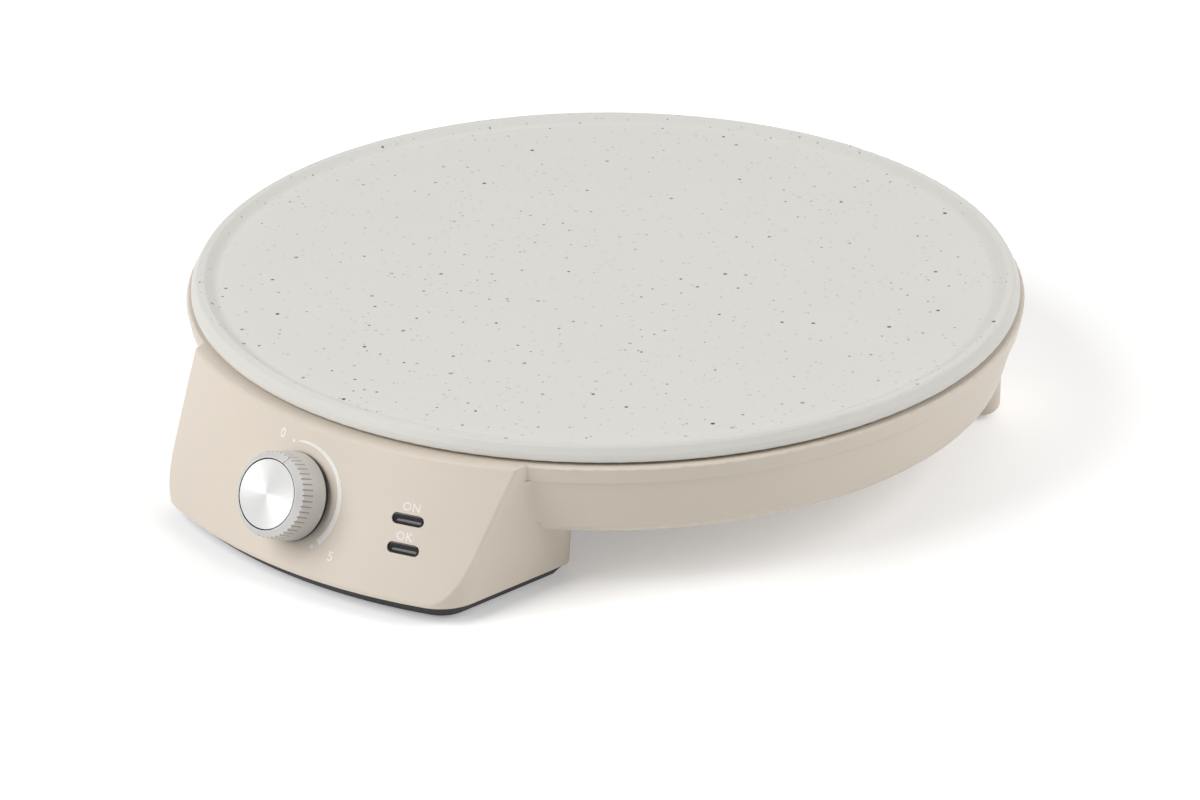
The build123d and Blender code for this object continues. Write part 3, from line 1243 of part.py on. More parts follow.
def build_nodes():
    """Every node's name and shape, about the plate's axis."""
    return {
        "hot_plate": hot_plate(),
        "heating_element": heating_element(),
        "element_seals": element_seals(),
        "element_tabs": element_tabs(),
        "element_clips": element_clips(),
        "plate_clip_screws": plate_screws_small(),
        "heat_shield": heat_shield(),
        "plate_spacers": plate_spacers(),
        "insulating_washers": insulating_washers(),
        "plate_screws": plate_screws(),
        "sensor_bulb": sensor_bulb(),
        "bulb_clip": bulb_clip(),
        "capillary_tube": capillary_tube(),
        "thermal_fuse": thermal_fuse(),
        "fuse_sleeve": fuse_sleeve(),
        "fuse_clip": fuse_clip(),
        "housing": housing(),
        "base_cover": base_cover(),
        "base_screws": base_screws(),
        "front_pads": front_pads(),
        "rear_pads": rear_pads(),
        "inlet_bush": inlet_bush(),
        "thermostat_case": thermostat_case(),
        "thermostat_tabs": thermostat_tabs(),
        "thermostat_nut": thermostat_nut(),
        "thermostat_spindle": thermostat_spindle(),
        "knob_body": knob_body(),
        "knob_cap": knob_cap(),
        "knob_spring": knob_spring(),
        "upper_lens": indicator_lens(WINDOW_PITCH / 2),
        "lower_lens": indicator_lens(-WINDOW_PITCH / 2),
        "lamp_holder": lamp_holder(),
        "neon_lamps": neon_lamps(),
        "lamp_screws": lamp_screws(),
        "terminal_block": terminal_block(),
        "terminal_screws": terminal_screws(),
        "line_wire": line_wire(),
        "fuse_feed_wire": fuse_feed_wire(),
        "fuse_link_wire": fuse_link_wire(),
        "neutral_wire": neutral_wire(),
        "earth_wire": earth_wire(),
        "earth_tag": earth_tag(),
        "lamp_leads": lamp_leads(),
    }


def main():
    """Write every node, with the origin under the middle of the whole object."""
    os.makedirs("parts", exist_ok=True)
    plate_y = (knob_reach() - FLANGE_R) / 2
    for name, shape in build_nodes().items():
        export_step(Pos(0, plate_y, 0) * shape, f"parts/{name}.step")
    print("plate axis at Y =", round(plate_y, 4))
    slope = radians(PANEL_ANGLE)
    print("knob axis point", [round(value, 4) for value in KNOB_PLANE.origin + Vector(0, plate_y, 0)])
    print("panel slope sin, cos", round(sin(slope), 6), round(cos(slope), 6))


main()
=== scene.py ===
import json
import logging
import math
from abc import ABC, abstractmethod
from contextlib import contextmanager
from dataclasses import dataclass, field
from enum import Enum
from typing import Callable, Iterator, Optional, Union

import bmesh
import bpy
from mathutils import Matrix, Vector

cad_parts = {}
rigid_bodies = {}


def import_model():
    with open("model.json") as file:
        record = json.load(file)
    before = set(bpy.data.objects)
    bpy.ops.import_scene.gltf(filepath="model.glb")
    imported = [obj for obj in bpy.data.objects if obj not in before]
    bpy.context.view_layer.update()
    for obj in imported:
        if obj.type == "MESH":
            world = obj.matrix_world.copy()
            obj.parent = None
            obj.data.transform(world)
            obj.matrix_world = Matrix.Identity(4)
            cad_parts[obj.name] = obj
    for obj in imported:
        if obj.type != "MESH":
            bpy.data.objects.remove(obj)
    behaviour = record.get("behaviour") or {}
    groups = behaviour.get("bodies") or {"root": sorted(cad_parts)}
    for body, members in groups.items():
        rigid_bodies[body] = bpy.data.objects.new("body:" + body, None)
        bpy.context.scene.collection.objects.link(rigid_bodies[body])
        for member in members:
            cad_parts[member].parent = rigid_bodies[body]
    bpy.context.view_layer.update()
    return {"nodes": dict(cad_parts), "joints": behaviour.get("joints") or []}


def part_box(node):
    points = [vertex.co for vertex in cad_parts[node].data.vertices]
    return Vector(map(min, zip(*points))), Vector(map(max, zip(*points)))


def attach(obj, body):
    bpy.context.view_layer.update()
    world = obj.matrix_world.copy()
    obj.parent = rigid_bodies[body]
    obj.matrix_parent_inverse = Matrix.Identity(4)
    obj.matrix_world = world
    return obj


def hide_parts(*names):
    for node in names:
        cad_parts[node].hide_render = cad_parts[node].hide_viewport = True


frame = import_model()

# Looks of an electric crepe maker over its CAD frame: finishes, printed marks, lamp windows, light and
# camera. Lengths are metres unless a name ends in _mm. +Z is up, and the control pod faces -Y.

MM = 0.001
HAIR = 0.001 * MM   # distance below which two points count as one
log = logging.getLogger("crepe_maker")

Tree = bpy.types.NodeTree
Node = bpy.types.Node
Socket = bpy.types.NodeSocket
Source = Union[Socket, float, tuple[float, ...]]   # what an input of a node takes
Colour = tuple[float, float, float, float]         # linear RGBA


# ---------------------------------------------------------------- sizes read from the frame
@dataclass(frozen=True)
class Form:
    """Places that several sub-assemblies share.

    Attributes:
        plate_centre: Middle of the hot plate at the height of its rim's crest.
        knob_centre: Point where the knob's axis meets the sloping panel.
        knob_axis: Direction of that axis, away from the panel.
    """

    plate_centre: Vector
    knob_centre: Vector
    knob_axis: Vector

    @classmethod
    def from_frame(cls) -> "Form":
        """Reads the places from the CAD frame.

        Returns:
            The places.
        """
        low, high = (Vector(corner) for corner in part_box("hot_plate"))
        turn = frame["joints"][0]
        centre = Vector(((low.x + high.x) / 2, (low.y + high.y) / 2, high.z))
        return cls(centre, Vector(turn["pos_m"]), -Vector(turn["axis"]).normalized())

    @property
    def panel_slope(self) -> float:
        """Sloping panel's lean back from upright, in radians."""
        return math.asin(self.knob_axis.z)

    def panel_radius(self, height: float) -> float:
        """Radius of the panel about the plate's axis at a height."""
        at_knob = self.plate_centre.y - self.knob_centre.y
        return at_knob - (height - self.knob_centre.z) * math.tan(self.panel_slope)

    def on_panel(self, azimuth: float, height: float, across: float, up: float, out: float) -> Vector:
        """A point given by its place on the panel's curved face.

        Args:
            azimuth: Radians round the plate's axis, from the pod's middle to the right.
            height: Height above the table that the azimuth is given for.
            across: Distance to the right along the face.
            up: Distance up the slope.
            out: Distance away from the face.

        Returns:
            The point in the object's frame.
        """
        level = height + up * math.cos(self.panel_slope)
        turn = azimuth + across / self.panel_radius(level)
        radius = self.panel_radius(level) + out * math.cos(self.panel_slope)
        return Vector((
            self.plate_centre.x + radius * math.sin(turn),
            self.plate_centre.y - radius * math.cos(turn),
            level + out * math.sin(self.panel_slope),
        ))


FORM = Form.from_frame()


# ---------------------------------------------------------------- colours and material nodes
def linear(hex_colour: str) -> Colour:
    """Turns an sRGB colour into a linear one.

    Args:
        hex_colour: The colour as # and six hex digits.

    Returns:
        The same colour in linear RGBA.
    """
    values = [int(hex_colour[i : i + 2], 16) / 255 for i in (1, 3, 5)]
    linears = [v / 12.92 if v <= 0.04045 else ((v + 0.055) / 1.055) ** 2.4 for v in values]
    return (*linears, 1.0)


def add_node(tree: Tree, kind: str, sockets: Optional[dict] = None, **settings: object) -> Node:
    """Adds a node with its settings and links.

    Args:
        tree: Tree that gets the node.
        kind: Blender's name of the node type, without its ShaderNode prefix.
        sockets: Input name or number to a value, or to another node's output.
        settings: Attributes of the node itself.

    Returns:
        The new node.
    """
    node = tree.nodes.new("ShaderNode" + kind)
    for name, value in settings.items():
        setattr(node, name, value)
    for key, value in (sockets or {}).items():
        if isinstance(value, Socket):
            tree.links.new(value, node.inputs[key])
        else:
            node.inputs[key].default_value = value
    return node


def calculate(tree: Tree, operation: str, *values: Source) -> Socket:
    """Adds a node that calculates with numbers."""
    return add_node(tree, "Math", dict(enumerate(values)), operation=operation).outputs[0]


def on_vectors(tree: Tree, operation: str, *values: Source, result: str = "Vector") -> Socket:
    """Adds a node that calculates with vectors, and picks its vector or its Value as the result."""
    return add_node(tree, "VectorMath", dict(enumerate(values)), operation=operation).outputs[result]


def remap(
    tree: Tree, value: Socket, low: float, high: float, to_low: float = 0.0, to_high: float = 1.0
) -> Socket:
    """Adds a node that carries the range low to high over to another range, and stops at its ends."""
    limits = {"Value": value, "From Min": low, "From Max": high, "To Min": to_low, "To Max": to_high}
    return add_node(tree, "MapRange", limits).outputs["Result"]


def mix_colours(tree: Tree, share: Socket, under: Socket, over: Colour) -> Socket:
    """Mixes a share of one colour over another."""
    # The colour inputs of a Mix node share their names with its number inputs, so they go by number.
    return add_node(tree, "Mix", {0: share, 6: under, 7: over}, data_type="RGBA").outputs[2]


NOISE_RANGE = (0.25, 0.75)   # most values of a noise texture lie between these
NOISE_DETAIL = 2.0           # how much finer noise it adds to its own


@dataclass(frozen=True)
class Finish:
    """A surface whose tone wanders a little, with a fine texture on it.

    Attributes:
        name: Real material and how its surface was made.
        colour: sRGB hex colour.
        roughness: Surface roughness.
        gloss_spread: How much the roughness varies, up and down.
        metallic: 1 for bare metal.
        wander: Share by which the tone wanders, up and down.
        wander_mm: Distance over which it wanders.
        grain_mm: Size of the fine texture's grains.
        grain_depth_mm: Height of those grains.
        sockets: Other inputs of the shader that are the same all over the surface.
    """

    name: str
    colour: str
    roughness: float = 0.5
    gloss_spread: float = 0.04
    metallic: float = 0.0
    wander: float = 0.015
    wander_mm: float = 30.0
    grain_mm: float = 0.4
    grain_depth_mm: float = 0.01
    sockets: tuple[tuple[str, float], ...] = ()

    def material(self) -> bpy.types.Material:
        """Makes the finish's material on first use.

        Returns:
            The material.
        """
        made = bpy.data.materials.get(self.name)
        if made is None:
            made = bpy.data.materials.new(self.name)
            made.use_nodes = True
            made.diffuse_color = linear(self.colour)
            tree = made.node_tree
            shader = tree.nodes["Principled BSDF"]
            shader.inputs["Metallic"].default_value = self.metallic
            for name, value in self.sockets:
                shader.inputs[name].default_value = value
            place = add_node(tree, "TexCoord").outputs["Object"]
            tree.links.new(self.tone(tree, place), shader.inputs["Base Color"])
            tree.links.new(self.gloss(tree, place), shader.inputs["Roughness"])
            tree.links.new(self.relief(tree, place), shader.inputs["Normal"])
            self.extra(tree, shader, place)
        return made

    def noise(self, tree: Tree, place: Socket, size_mm: float) -> Socket:
        """Noise with features of a size, from 0 to 1."""
        sockets = {"Vector": place, "Scale": 1.0 / (size_mm * MM), "Detail": NOISE_DETAIL}
        return add_node(tree, "TexNoise", sockets).outputs["Fac"]

    def spread(self, tree: Tree, value: Socket, middle: float, half: float) -> Socket:
        """Stretches noise to middle - half and middle + half."""
        return remap(tree, value, *NOISE_RANGE, middle - half, middle + half)

    def tone(self, tree: Tree, place: Socket) -> Socket:
        """Lets the colour wander about the finish's own.

        Args:
            tree: Tree that gets the nodes.
            place: Coordinates of the surface.

        Returns:
            The colour.
        """
        share = self.spread(tree, self.noise(tree, place, self.wander_mm), 1.0, self.wander)
        sockets = {0: linear(self.colour)[:3], "Scale": share}
        return add_node(tree, "VectorMath", sockets, operation="SCALE").outputs["Vector"]

    def gloss(self, tree: Tree, place: Socket) -> Socket:
        """Roughness that varies from patch to patch."""
        patches = self.noise(tree, place, self.wander_mm / 2)
        return self.spread(tree, patches, self.roughness, self.gloss_spread)

    def height(self, tree: Tree, place: Socket) -> Socket:
        """Height of the fine texture, from 0 to 1."""
        return self.noise(tree, place, self.grain_mm)

    def relief(self, tree: Tree, place: Socket) -> Socket:
        """Normal of the fine texture."""
        sockets = {"Height": self.height(tree, place), "Strength": 1.0, "Distance": self.grain_depth_mm * MM}
        return add_node(tree, "Bump", sockets).outputs["Normal"]

    def extra(self, tree: Tree, shader: Node, place: Socket) -> None:
        """Nodes that only some finishes have."""


@dataclass(frozen=True)
class Specks:
    """Grains scattered in a coating.

    Attributes:
        colour: sRGB hex colour.
        spacing_mm: Edge of the cube that holds one grain.
        radius_mm: Radius of the largest grain.
        strength: Share of its colour that the strongest grain shows.
        smallest: Radius of the smallest grain, as a share of the largest grain's.
        core: Share of its radius up to which a grain is solid.
        edge: Share of its radius at which it has faded out.
        faintest: Strength of the faintest grain, as a share of the strongest grain's.
    """

    colour: str
    spacing_mm: float
    radius_mm: float
    strength: float
    smallest: float = 0.35
    core: float = 0.75
    edge: float = 1.15
    faintest: float = 0.3

    def over(self, tree: Tree, place: Socket, within: Socket, under: Socket) -> Socket:
        """Lays the grains over a colour.

        Args:
            tree: Tree that gets the nodes.
            place: Coordinates of the surface.
            within: 1 where there are grains, 0 where there are none.
            under: Colour of the coating.

        Returns:
            The colour with its grains.
        """
        cells = add_node(tree, "TexVoronoi", {"Vector": place, "Scale": 1.0 / (self.spacing_mm * MM)})
        chance = add_node(tree, "SeparateColor", {"Color": cells.outputs["Color"]})
        largest = self.radius_mm / self.spacing_mm
        size = remap(tree, chance.outputs["Red"], 0.0, 1.0, self.smallest * largest, largest)
        ratio = calculate(tree, "DIVIDE", cells.outputs["Distance"], size)
        cover = remap(tree, ratio, self.core, self.edge, self.strength, 0.0)
        faded = remap(tree, chance.outputs["Green"], 0.0, 1.0, self.faintest, 1.0)
        share = calculate(tree, "MULTIPLY", cover, faded)
        inside = calculate(tree, "MULTIPLY", share, within)
        return mix_colours(tree, inside, under, linear(self.colour))


@dataclass(frozen=True)
class SpeckledCeramic(Finish):
    """Sprayed ceramic coating with dark and faint grains in it, and a plain outer edge.

    Attributes:
        grains: Kinds of grain, from the faintest to the darkest.
        grains_within: Radius from the plate's axis inside which there are grains.
    """

    grains: tuple[Specks, ...] = ()
    grains_within: float = 0.0

    def tone(self, tree: Tree, place: Socket) -> Socket:
        """Lays the grains over the coating's colour.

        Args:
            tree: Tree that gets the nodes.
            place: Coordinates of the surface.

        Returns:
            The colour.
        """
        colour = super().tone(tree, place)
        centred = on_vectors(tree, "SUBTRACT", place, FORM.plate_centre[:])
        flat = on_vectors(tree, "MULTIPLY", centred, (1.0, 1.0, 0.0))
        radius = on_vectors(tree, "LENGTH", flat, result="Value")
        within = calculate(tree, "LESS_THAN", radius, self.grains_within)
        for kind in self.grains:
            colour = kind.over(tree, place, within, colour)
        return colour


@dataclass(frozen=True)
class SpunMetal(Finish):
    """Metal face turned on a lathe, whose rings stretch reflections into rays.

    Attributes:
        centre: A point on the lathe's axis.
        axis: Direction of that axis.
        ring_mm: Distance between rings, drawn coarser than the real tool marks so that they show.
        stretch: How much reflections are stretched.
    """

    centre: tuple[float, float, float] = (0.0, 0.0, 0.0)
    axis: tuple[float, float, float] = (0.0, 0.0, 1.0)
    ring_mm: float = 0.8
    stretch: float = 0.7

    def around(self, tree: Tree, place: Socket) -> Socket:
        """Vector along the rings, as long as the surface is far from the axis."""
        arm = on_vectors(tree, "SUBTRACT", place, self.centre)
        return on_vectors(tree, "CROSS_PRODUCT", self.axis, arm)

    def height(self, tree: Tree, place: Socket) -> Socket:
        """Draws waves that run round the axis.

        Args:
            tree: Tree that gets the nodes.
            place: Coordinates of the surface.

        Returns:
            Height of the waves, from -1 to 1.
        """
        radius = on_vectors(tree, "LENGTH", self.around(tree, place), result="Value")
        rings = calculate(tree, "MULTIPLY", radius, 2 * math.pi / (self.ring_mm * MM))
        return calculate(tree, "SINE", rings)

    def extra(self, tree: Tree, shader: Node, place: Socket) -> None:
        """Stretches reflections along the rings.

        Args:
            tree: Tree that gets the nodes.
            shader: The surface's shader.
            place: Coordinates of the surface.
        """
        along = on_vectors(tree, "NORMALIZE", self.around(tree, place))
        # The shader wants the direction in world space, which differs once the knob has turned.
        turned = add_node(
            tree, "VectorTransform", {"Vector": along}, vector_type="VECTOR", convert_from="OBJECT",
            convert_to="WORLD",
        )
        tree.links.new(turned.outputs["Vector"], shader.inputs["Tangent"])
        shader.inputs["Anisotropic"].default_value = self.stretch


@dataclass(frozen=True)
class StripedSheath(Finish):
    """Extruded insulation in two colours.

    Attributes:
        stripe: sRGB hex colour of the second stripe.
        stripe_mm: Half the distance from stripe to stripe on a wire that runs along an axis.
        stripe_from: Value of the wave at which the second colour starts.
        stripe_full: Value at which it is full.
        wave_scale: Scale of a diagonal wave texture whose half wave is one unit long on an axis.
    """

    stripe: str = "#C9B21E"
    stripe_mm: float = 5.0
    stripe_from: float = 0.65
    stripe_full: float = 0.75
    wave_scale: float = 0.314

    def tone(self, tree: Tree, place: Socket) -> Socket:
        """Lays stripes that wind along the wire over its colour.

        Args:
            tree: Tree that gets the nodes.
            place: Coordinates of the surface.

        Returns:
            The colour.
        """
        sockets = {"Vector": place, "Scale": self.wave_scale / (self.stripe_mm * MM)}
        waves = add_node(tree, "TexWave", sockets, bands_direction="DIAGONAL").outputs["Fac"]
        edge = remap(tree, waves, self.stripe_from, self.stripe_full)
        return mix_colours(tree, edge, super().tone(tree, place), linear(self.stripe))


@dataclass(frozen=True)
class MaskedLacquerWithPaintedShade(Finish):
    """Lacquer on a knob of dark plastic, which shows in the recess; a dark band at the foot is partly bare
    plastic and partly painted shade of the gap under the knob, and thin dark lines in the grip grooves are
    painted shade.

    Attributes:
        foot: Point on the knob's axis level with its foot.
        axis: Direction away from the foot.
        bare: sRGB hex colour of the plastic, also used for the painted shade at the foot and in the grooves.
        dark_foot_height: How far from the foot the lacquer starts; the dark band below is partly bare plastic
            and partly painted shade of the gap under the knob.
        soft_edge: Width of the lacquer's feathered edge.
        grooves: Number of grooves round the knob.
        groove_share: Half a groove's width, as a share of the distance from groove to groove.
        groove_from: Distance from the foot at which grooves start.
        groove_to: Distance from the foot at which they end.
        groove_shade_share: Share of the plastic's colour laid in them as painted shade.
        recess_radius: Radius inside which there is no lacquer.
        far_below: A distance from the foot that lies below everything.
    """

    foot: tuple[float, float, float] = (0.0, 0.0, 0.0)
    axis: tuple[float, float, float] = (0.0, 0.0, 1.0)
    bare: str = "#1A1918"
    # painted shade: the dark band at the foot partly stands in for the shadow in the gap under the knob
    dark_foot_height: float = 1.0 * MM
    soft_edge: float = 0.1 * MM
    grooves: int = 48
    groove_share: float = 0.14
    groove_from: float = 8.3 * MM
    groove_to: float = 13.0 * MM
    # painted shade: share of the dark plastic colour laid in the grip grooves for their shade
    groove_shade_share: float = 0.6
    recess_radius: float = 12.55 * MM
    far_below: float = -1.0

    def tone(self, tree: Tree, place: Socket) -> Socket:
        """Shows plastic in the recess, a dark foot band that is partly painted shade, painted shade in the
        grooves, and lacquer elsewhere.

        Args:
            tree: Tree that gets the nodes.
            place: Coordinates of the surface.

        Returns:
            The colour.
        """
        arm = on_vectors(tree, "SUBTRACT", place, self.foot)
        height = self.along(tree, arm, Vector(self.axis))
        # painted shade: the dark foot band partly stands in for the shadow in the gap under the knob
        foot = self.window(tree, height, self.far_below, self.dark_foot_height)
        deep = self.window(tree, height, self.groove_from, self.groove_to)
        across = Vector((1.0, 0.0, 0.0))
        beside = self.along(tree, arm, Vector(self.axis).cross(across))
        angle = calculate(tree, "ARCTAN2", beside, self.along(tree, arm, across))
        crest = calculate(tree, "COSINE", calculate(tree, "MULTIPLY", angle, float(self.grooves)))
        edge = math.cos(2 * math.pi * self.groove_share)
        # painted shade: dark lines in the grip grooves stand in for the shade in them
        groove = remap(tree, crest, edge, 1.0, 0.0, self.groove_shade_share)
        painted_groove_shade = calculate(tree, "MULTIPLY", groove, deep)
        side = on_vectors(tree, "CROSS_PRODUCT", self.axis, arm)
        radius = on_vectors(tree, "LENGTH", side, result="Value")
        inside = calculate(tree, "LESS_THAN", radius, self.recess_radius)
        # plastic colour where the recess shows, and painted shade at the foot and in the grooves
        bare = calculate(tree, "MAXIMUM", calculate(tree, "MAXIMUM", foot, painted_groove_shade), inside)
        return mix_colours(tree, bare, super().tone(tree, place), linear(self.bare))

    def along(self, tree: Tree, arm: Socket, way: Vector) -> Socket:
        """Length of an arm in one direction."""
        return on_vectors(tree, "DOT_PRODUCT", arm, way[:], result="Value")

    def window(self, tree: Tree, height: Socket, low: float, high: float) -> Socket:
        """Tells heights between two limits from others.

        Args:
            tree: Tree that gets the nodes.
            height: Distance from the foot.
            low: Lower limit, from which the result rises.
            high: Upper limit, from which it falls.

        Returns:
            1 between the limits, with soft edges, and 0 beyond them.
        """
        rise = remap(tree, height, low, low + self.soft_edge)
        fall = remap(tree, height, high, high + self.soft_edge, 1.0, 0.0)
        return calculate(tree, "MULTIPLY", rise, fall)


# ---------------------------------------------------------------- finishes
# ABS moulded in a spark-finished tool: satin, warm beige, highlights soft at every edge.
BEIGE_ABS = Finish("moulded_abs_beige", "#DED3C5", 0.42, grain_mm=0.35, grain_depth_mm=0.004, wander=0.01)
# Sol-gel ceramic sprayed on cast aluminium: pale grey-white, satin, with grains and a faint orange peel.
CERAMIC = SpeckledCeramic(
    "sprayed_ceramic_speckled", "#DEDCD6", 0.5, grain_mm=1.6, grain_depth_mm=0.006, wander=0.008,
    wander_mm=45.0, sockets=(("Specular IOR Level", 0.35),),
    grains=(
        Specks("#B4B2AC", spacing_mm=3.7, radius_mm=0.80, strength=0.5),
        Specks("#74726E", spacing_mm=5.0, radius_mm=0.60, strength=0.85),
        Specks("#100F0E", spacing_mm=7.4, radius_mm=0.86, strength=1.0),
    ),
    grains_within=150.6 * MM,
)
# Polypropylene moulded in a matt tool: near black, dull.
BLACK_PP = Finish(
    "moulded_polypropylene_black", "#1A1918", 0.6, grain_mm=0.5, grain_depth_mm=0.006,
    sockets=(("Specular IOR Level", 0.35),),
)
# Black ABS with silver lacquer down to its foot: fine metal flake under a satin clear coat. The dark band at
# its foot is partly bare plastic and partly painted shade of the gap under the knob, and the dark lines in
# its grip grooves are painted shade.
SILVER_LACQUER = MaskedLacquerWithPaintedShade(
    "lacquered_abs_silver", "#C9C8C6", 0.34, metallic=0.65, grain_mm=0.12, grain_depth_mm=0.002, wander=0.03,
    wander_mm=0.5, sockets=(("Coat Weight", 0.25), ("Coat Roughness", 0.25)),
    foot=FORM.knob_centre[:], axis=FORM.knob_axis[:], dark_foot_height=1.9 * MM,
)
# Aluminium disc turned on a lathe and clear anodised: pale, with rays that turn with the light.
SPUN_ALUMINIUM = SpunMetal(
    "turned_aluminium_anodised", "#DDDDDC", 0.24, gloss_spread=0.02, metallic=1.0, wander=0.01,
    grain_depth_mm=0.001, centre=FORM.knob_centre[:], axis=FORM.knob_axis[:],
)
# Smoke-dark acrylic polished in its mould: black glass look.
SMOKED_ACRYLIC = Finish(
    "moulded_acrylic_smoked", "#0D0B0A", 0.07, gloss_spread=0.02, grain_mm=3.0, grain_depth_mm=0.002,
    sockets=(("IOR", 1.49), ("Specular IOR Level", 0.4)),
)
# Pad-printed ink: off-white, flat, with slightly uneven cover.
PALE_INK = Finish("pad_printed_ink_white", "#F3F0EA", 0.55, wander=0.03, wander_mm=1.2, grain_mm=0.25)
# Vulcanised rubber: dark, dull, a little dusty.
RUBBER = Finish("vulcanised_rubber_black", "#2A2928", 0.8, wander=0.06, wander_mm=8.0, grain_depth_mm=0.02)
# Steel with bright zinc: cool grey with a crystalline patchwork.
ZINC_STEEL = Finish(
    "zinc_plated_steel", "#BFC0C0", 0.32, metallic=1.0, wander=0.06, wander_mm=3.0, grain_mm=0.3,
)
# Stainless tube annealed and oxidised by its own heat: dark and brownish.
SHEATH_STEEL = Finish("annealed_steel_tube", "#6D6762", 0.45, metallic=1.0, wander=0.12, wander_mm=12.0)
# Steel sheet dipped in aluminium: bright, with soft spangle.
ALUMINISED_STEEL = Finish("aluminised_steel_sheet", "#C3C3C1", 0.38, metallic=1.0, wander=0.05, wander_mm=9.0)
# Stamped brass, bare.
BRASS = Finish("stamped_brass", "#C8A15C", 0.34, metallic=1.0, wander=0.05, wander_mm=4.0)
# Copper drawn to a capillary.
COPPER = Finish("drawn_copper", "#C07B52", 0.33, metallic=1.0, wander=0.08, wander_mm=6.0)
# Steatite pressed and fired without glaze: chalky.
STEATITE = Finish("fired_steatite", "#E2DCCB", 0.75, wander=0.03, wander_mm=3.0, grain_depth_mm=0.02)
# Phenolic moulding: dark brown-black with a slight gloss.
PHENOLIC = Finish("moulded_phenolic_dark", "#2B2622", 0.4, wander=0.04)
# Natural nylon: milky.
NYLON = Finish("moulded_nylon_natural", "#DCD9CF", 0.45)
# Silicone extruded over wire: soft sheen.
SILICONE_BLACK = Finish("extruded_silicone_black", "#1F1E1E", 0.55)
SILICONE_BLUE = Finish("extruded_silicone_blue", "#2F5FA8", 0.55)
SILICONE_STRIPED = StripedSheath("extruded_silicone_green_yellow", "#3F8A3A", 0.55)
# Glass yarn braided into sleeving: pale, with a fine even weave.
GLASS_BRAID = Finish("braided_glass_sleeving", "#D8D2C0", 0.7, wander=0.1, wander_mm=1.0, grain_depth_mm=0.12)
# Drawn glass envelope: clear, faintly warm.
LAMP_GLASS = Finish(
    "drawn_glass_clear", "#F6DCCB", 0.05, gloss_spread=0.02, grain_mm=2.0, grain_depth_mm=0.001,
    sockets=(("Transmission Weight", 0.9), ("IOR", 1.5)),
)


# ---------------------------------------------------------------- modelling by hand, in code
def deselect_all() -> None:
    """Leaves nothing selected or active."""
    for piece in bpy.context.view_layer.objects:
        piece.select_set(False)
    bpy.context.view_layer.objects.active = None


def start(name: str, add: Callable[..., object], **size: object) -> bpy.types.Object:
    """Adds a primitive as the start of a new piece.

    Args:
        name: The piece's name.
        add: Operator that adds the primitive.
        size: The operator's settings.

    Returns:
        The new object, selected and active.
    """
    deselect_all()
    add(**size)
    piece = bpy.context.object
    piece.name = name
    piece.data.name = name
    return piece


@contextmanager
def editing(piece: bpy.types.Object) -> Iterator[None]:
    """Opens a piece in edit mode, in face select, and closes it afterwards.

    Args:
        piece: The piece.

    Yields:
        Nothing, while the piece is open.
    """
    deselect_all()
    piece.select_set(True)
    bpy.context.view_layer.objects.active = piece
    bpy.ops.object.mode_set(mode="EDIT")
    bpy.ops.mesh.select_mode(type="FACE")
    yield
    bpy.ops.object.mode_set(mode="OBJECT")


def pick_faces(piece: bpy.types.Object, wanted: Callable[[bmesh.types.BMFace], bool]) -> None:
    """Selects the faces that pass a test, in edit mode.

    Args:
        piece: The piece that is open.
        wanted: The test.
    """
    mesh = bmesh.from_edit_mesh(piece.data)
    bpy.ops.mesh.select_all(action="DESELECT")
    for face in mesh.faces:
        face.select_set(wanted(face))
    bmesh.update_edit_mesh(piece.data)


def apply_modifier(piece: bpy.types.Object, kind: str, **settings: object) -> None:
    """Adds a modifier to a piece and applies it.

    Args:
        piece: The piece.
        kind: Blender's name of the modifier's type.
        settings: The modifier's settings.
    """
    deselect_all()
    piece.select_set(True)
    bpy.context.view_layer.objects.active = piece
    modifier = piece.modifiers.new(kind.lower(), kind)
    for name, value in settings.items():
        setattr(modifier, name, value)
    bpy.ops.object.modifier_apply(modifier=modifier.name)


def settle(piece: bpy.types.Object, place: Callable[[Vector], Vector], smooth_degrees: float = 35.0) -> None:
    """Moves a piece's points to their place in the object's frame, and shades it.

    Args:
        piece: The piece, modelled about the origin.
        place: Gives each point its place.
        smooth_degrees: Edges that turn less than this are shaded smooth.
    """
    piece.data.transform(piece.matrix_world)
    piece.matrix_world = Matrix.Identity(4)
    for vertex in piece.data.vertices:
        vertex.co = place(vertex.co.copy())
    deselect_all()
    piece.select_set(True)
    bpy.context.view_layer.objects.active = piece
    bpy.ops.object.shade_smooth_by_angle(angle=math.radians(smooth_degrees))


def join(name: str, parts: list[bpy.types.Object]) -> bpy.types.Object:
    """Joins several meshes into one piece.

    Args:
        name: The piece's name.
        parts: The meshes.

    Returns:
        The piece.
    """
    deselect_all()
    for part in parts:
        part.select_set(True)
    bpy.context.view_layer.objects.active = parts[0]
    if len(parts) > 1:
        bpy.ops.object.join()
    piece = bpy.context.object
    piece.name = name
    piece.data.name = name
    return piece


# ---------------------------------------------------------------- sub-assemblies
FIXED_BODY = "base"   # the body that stays still, which all new pieces belong to


class Slot(Enum):
    """Material slots of the record that new pieces are listed with."""

    PALE = "white_nylon"
    LENS = "lens"


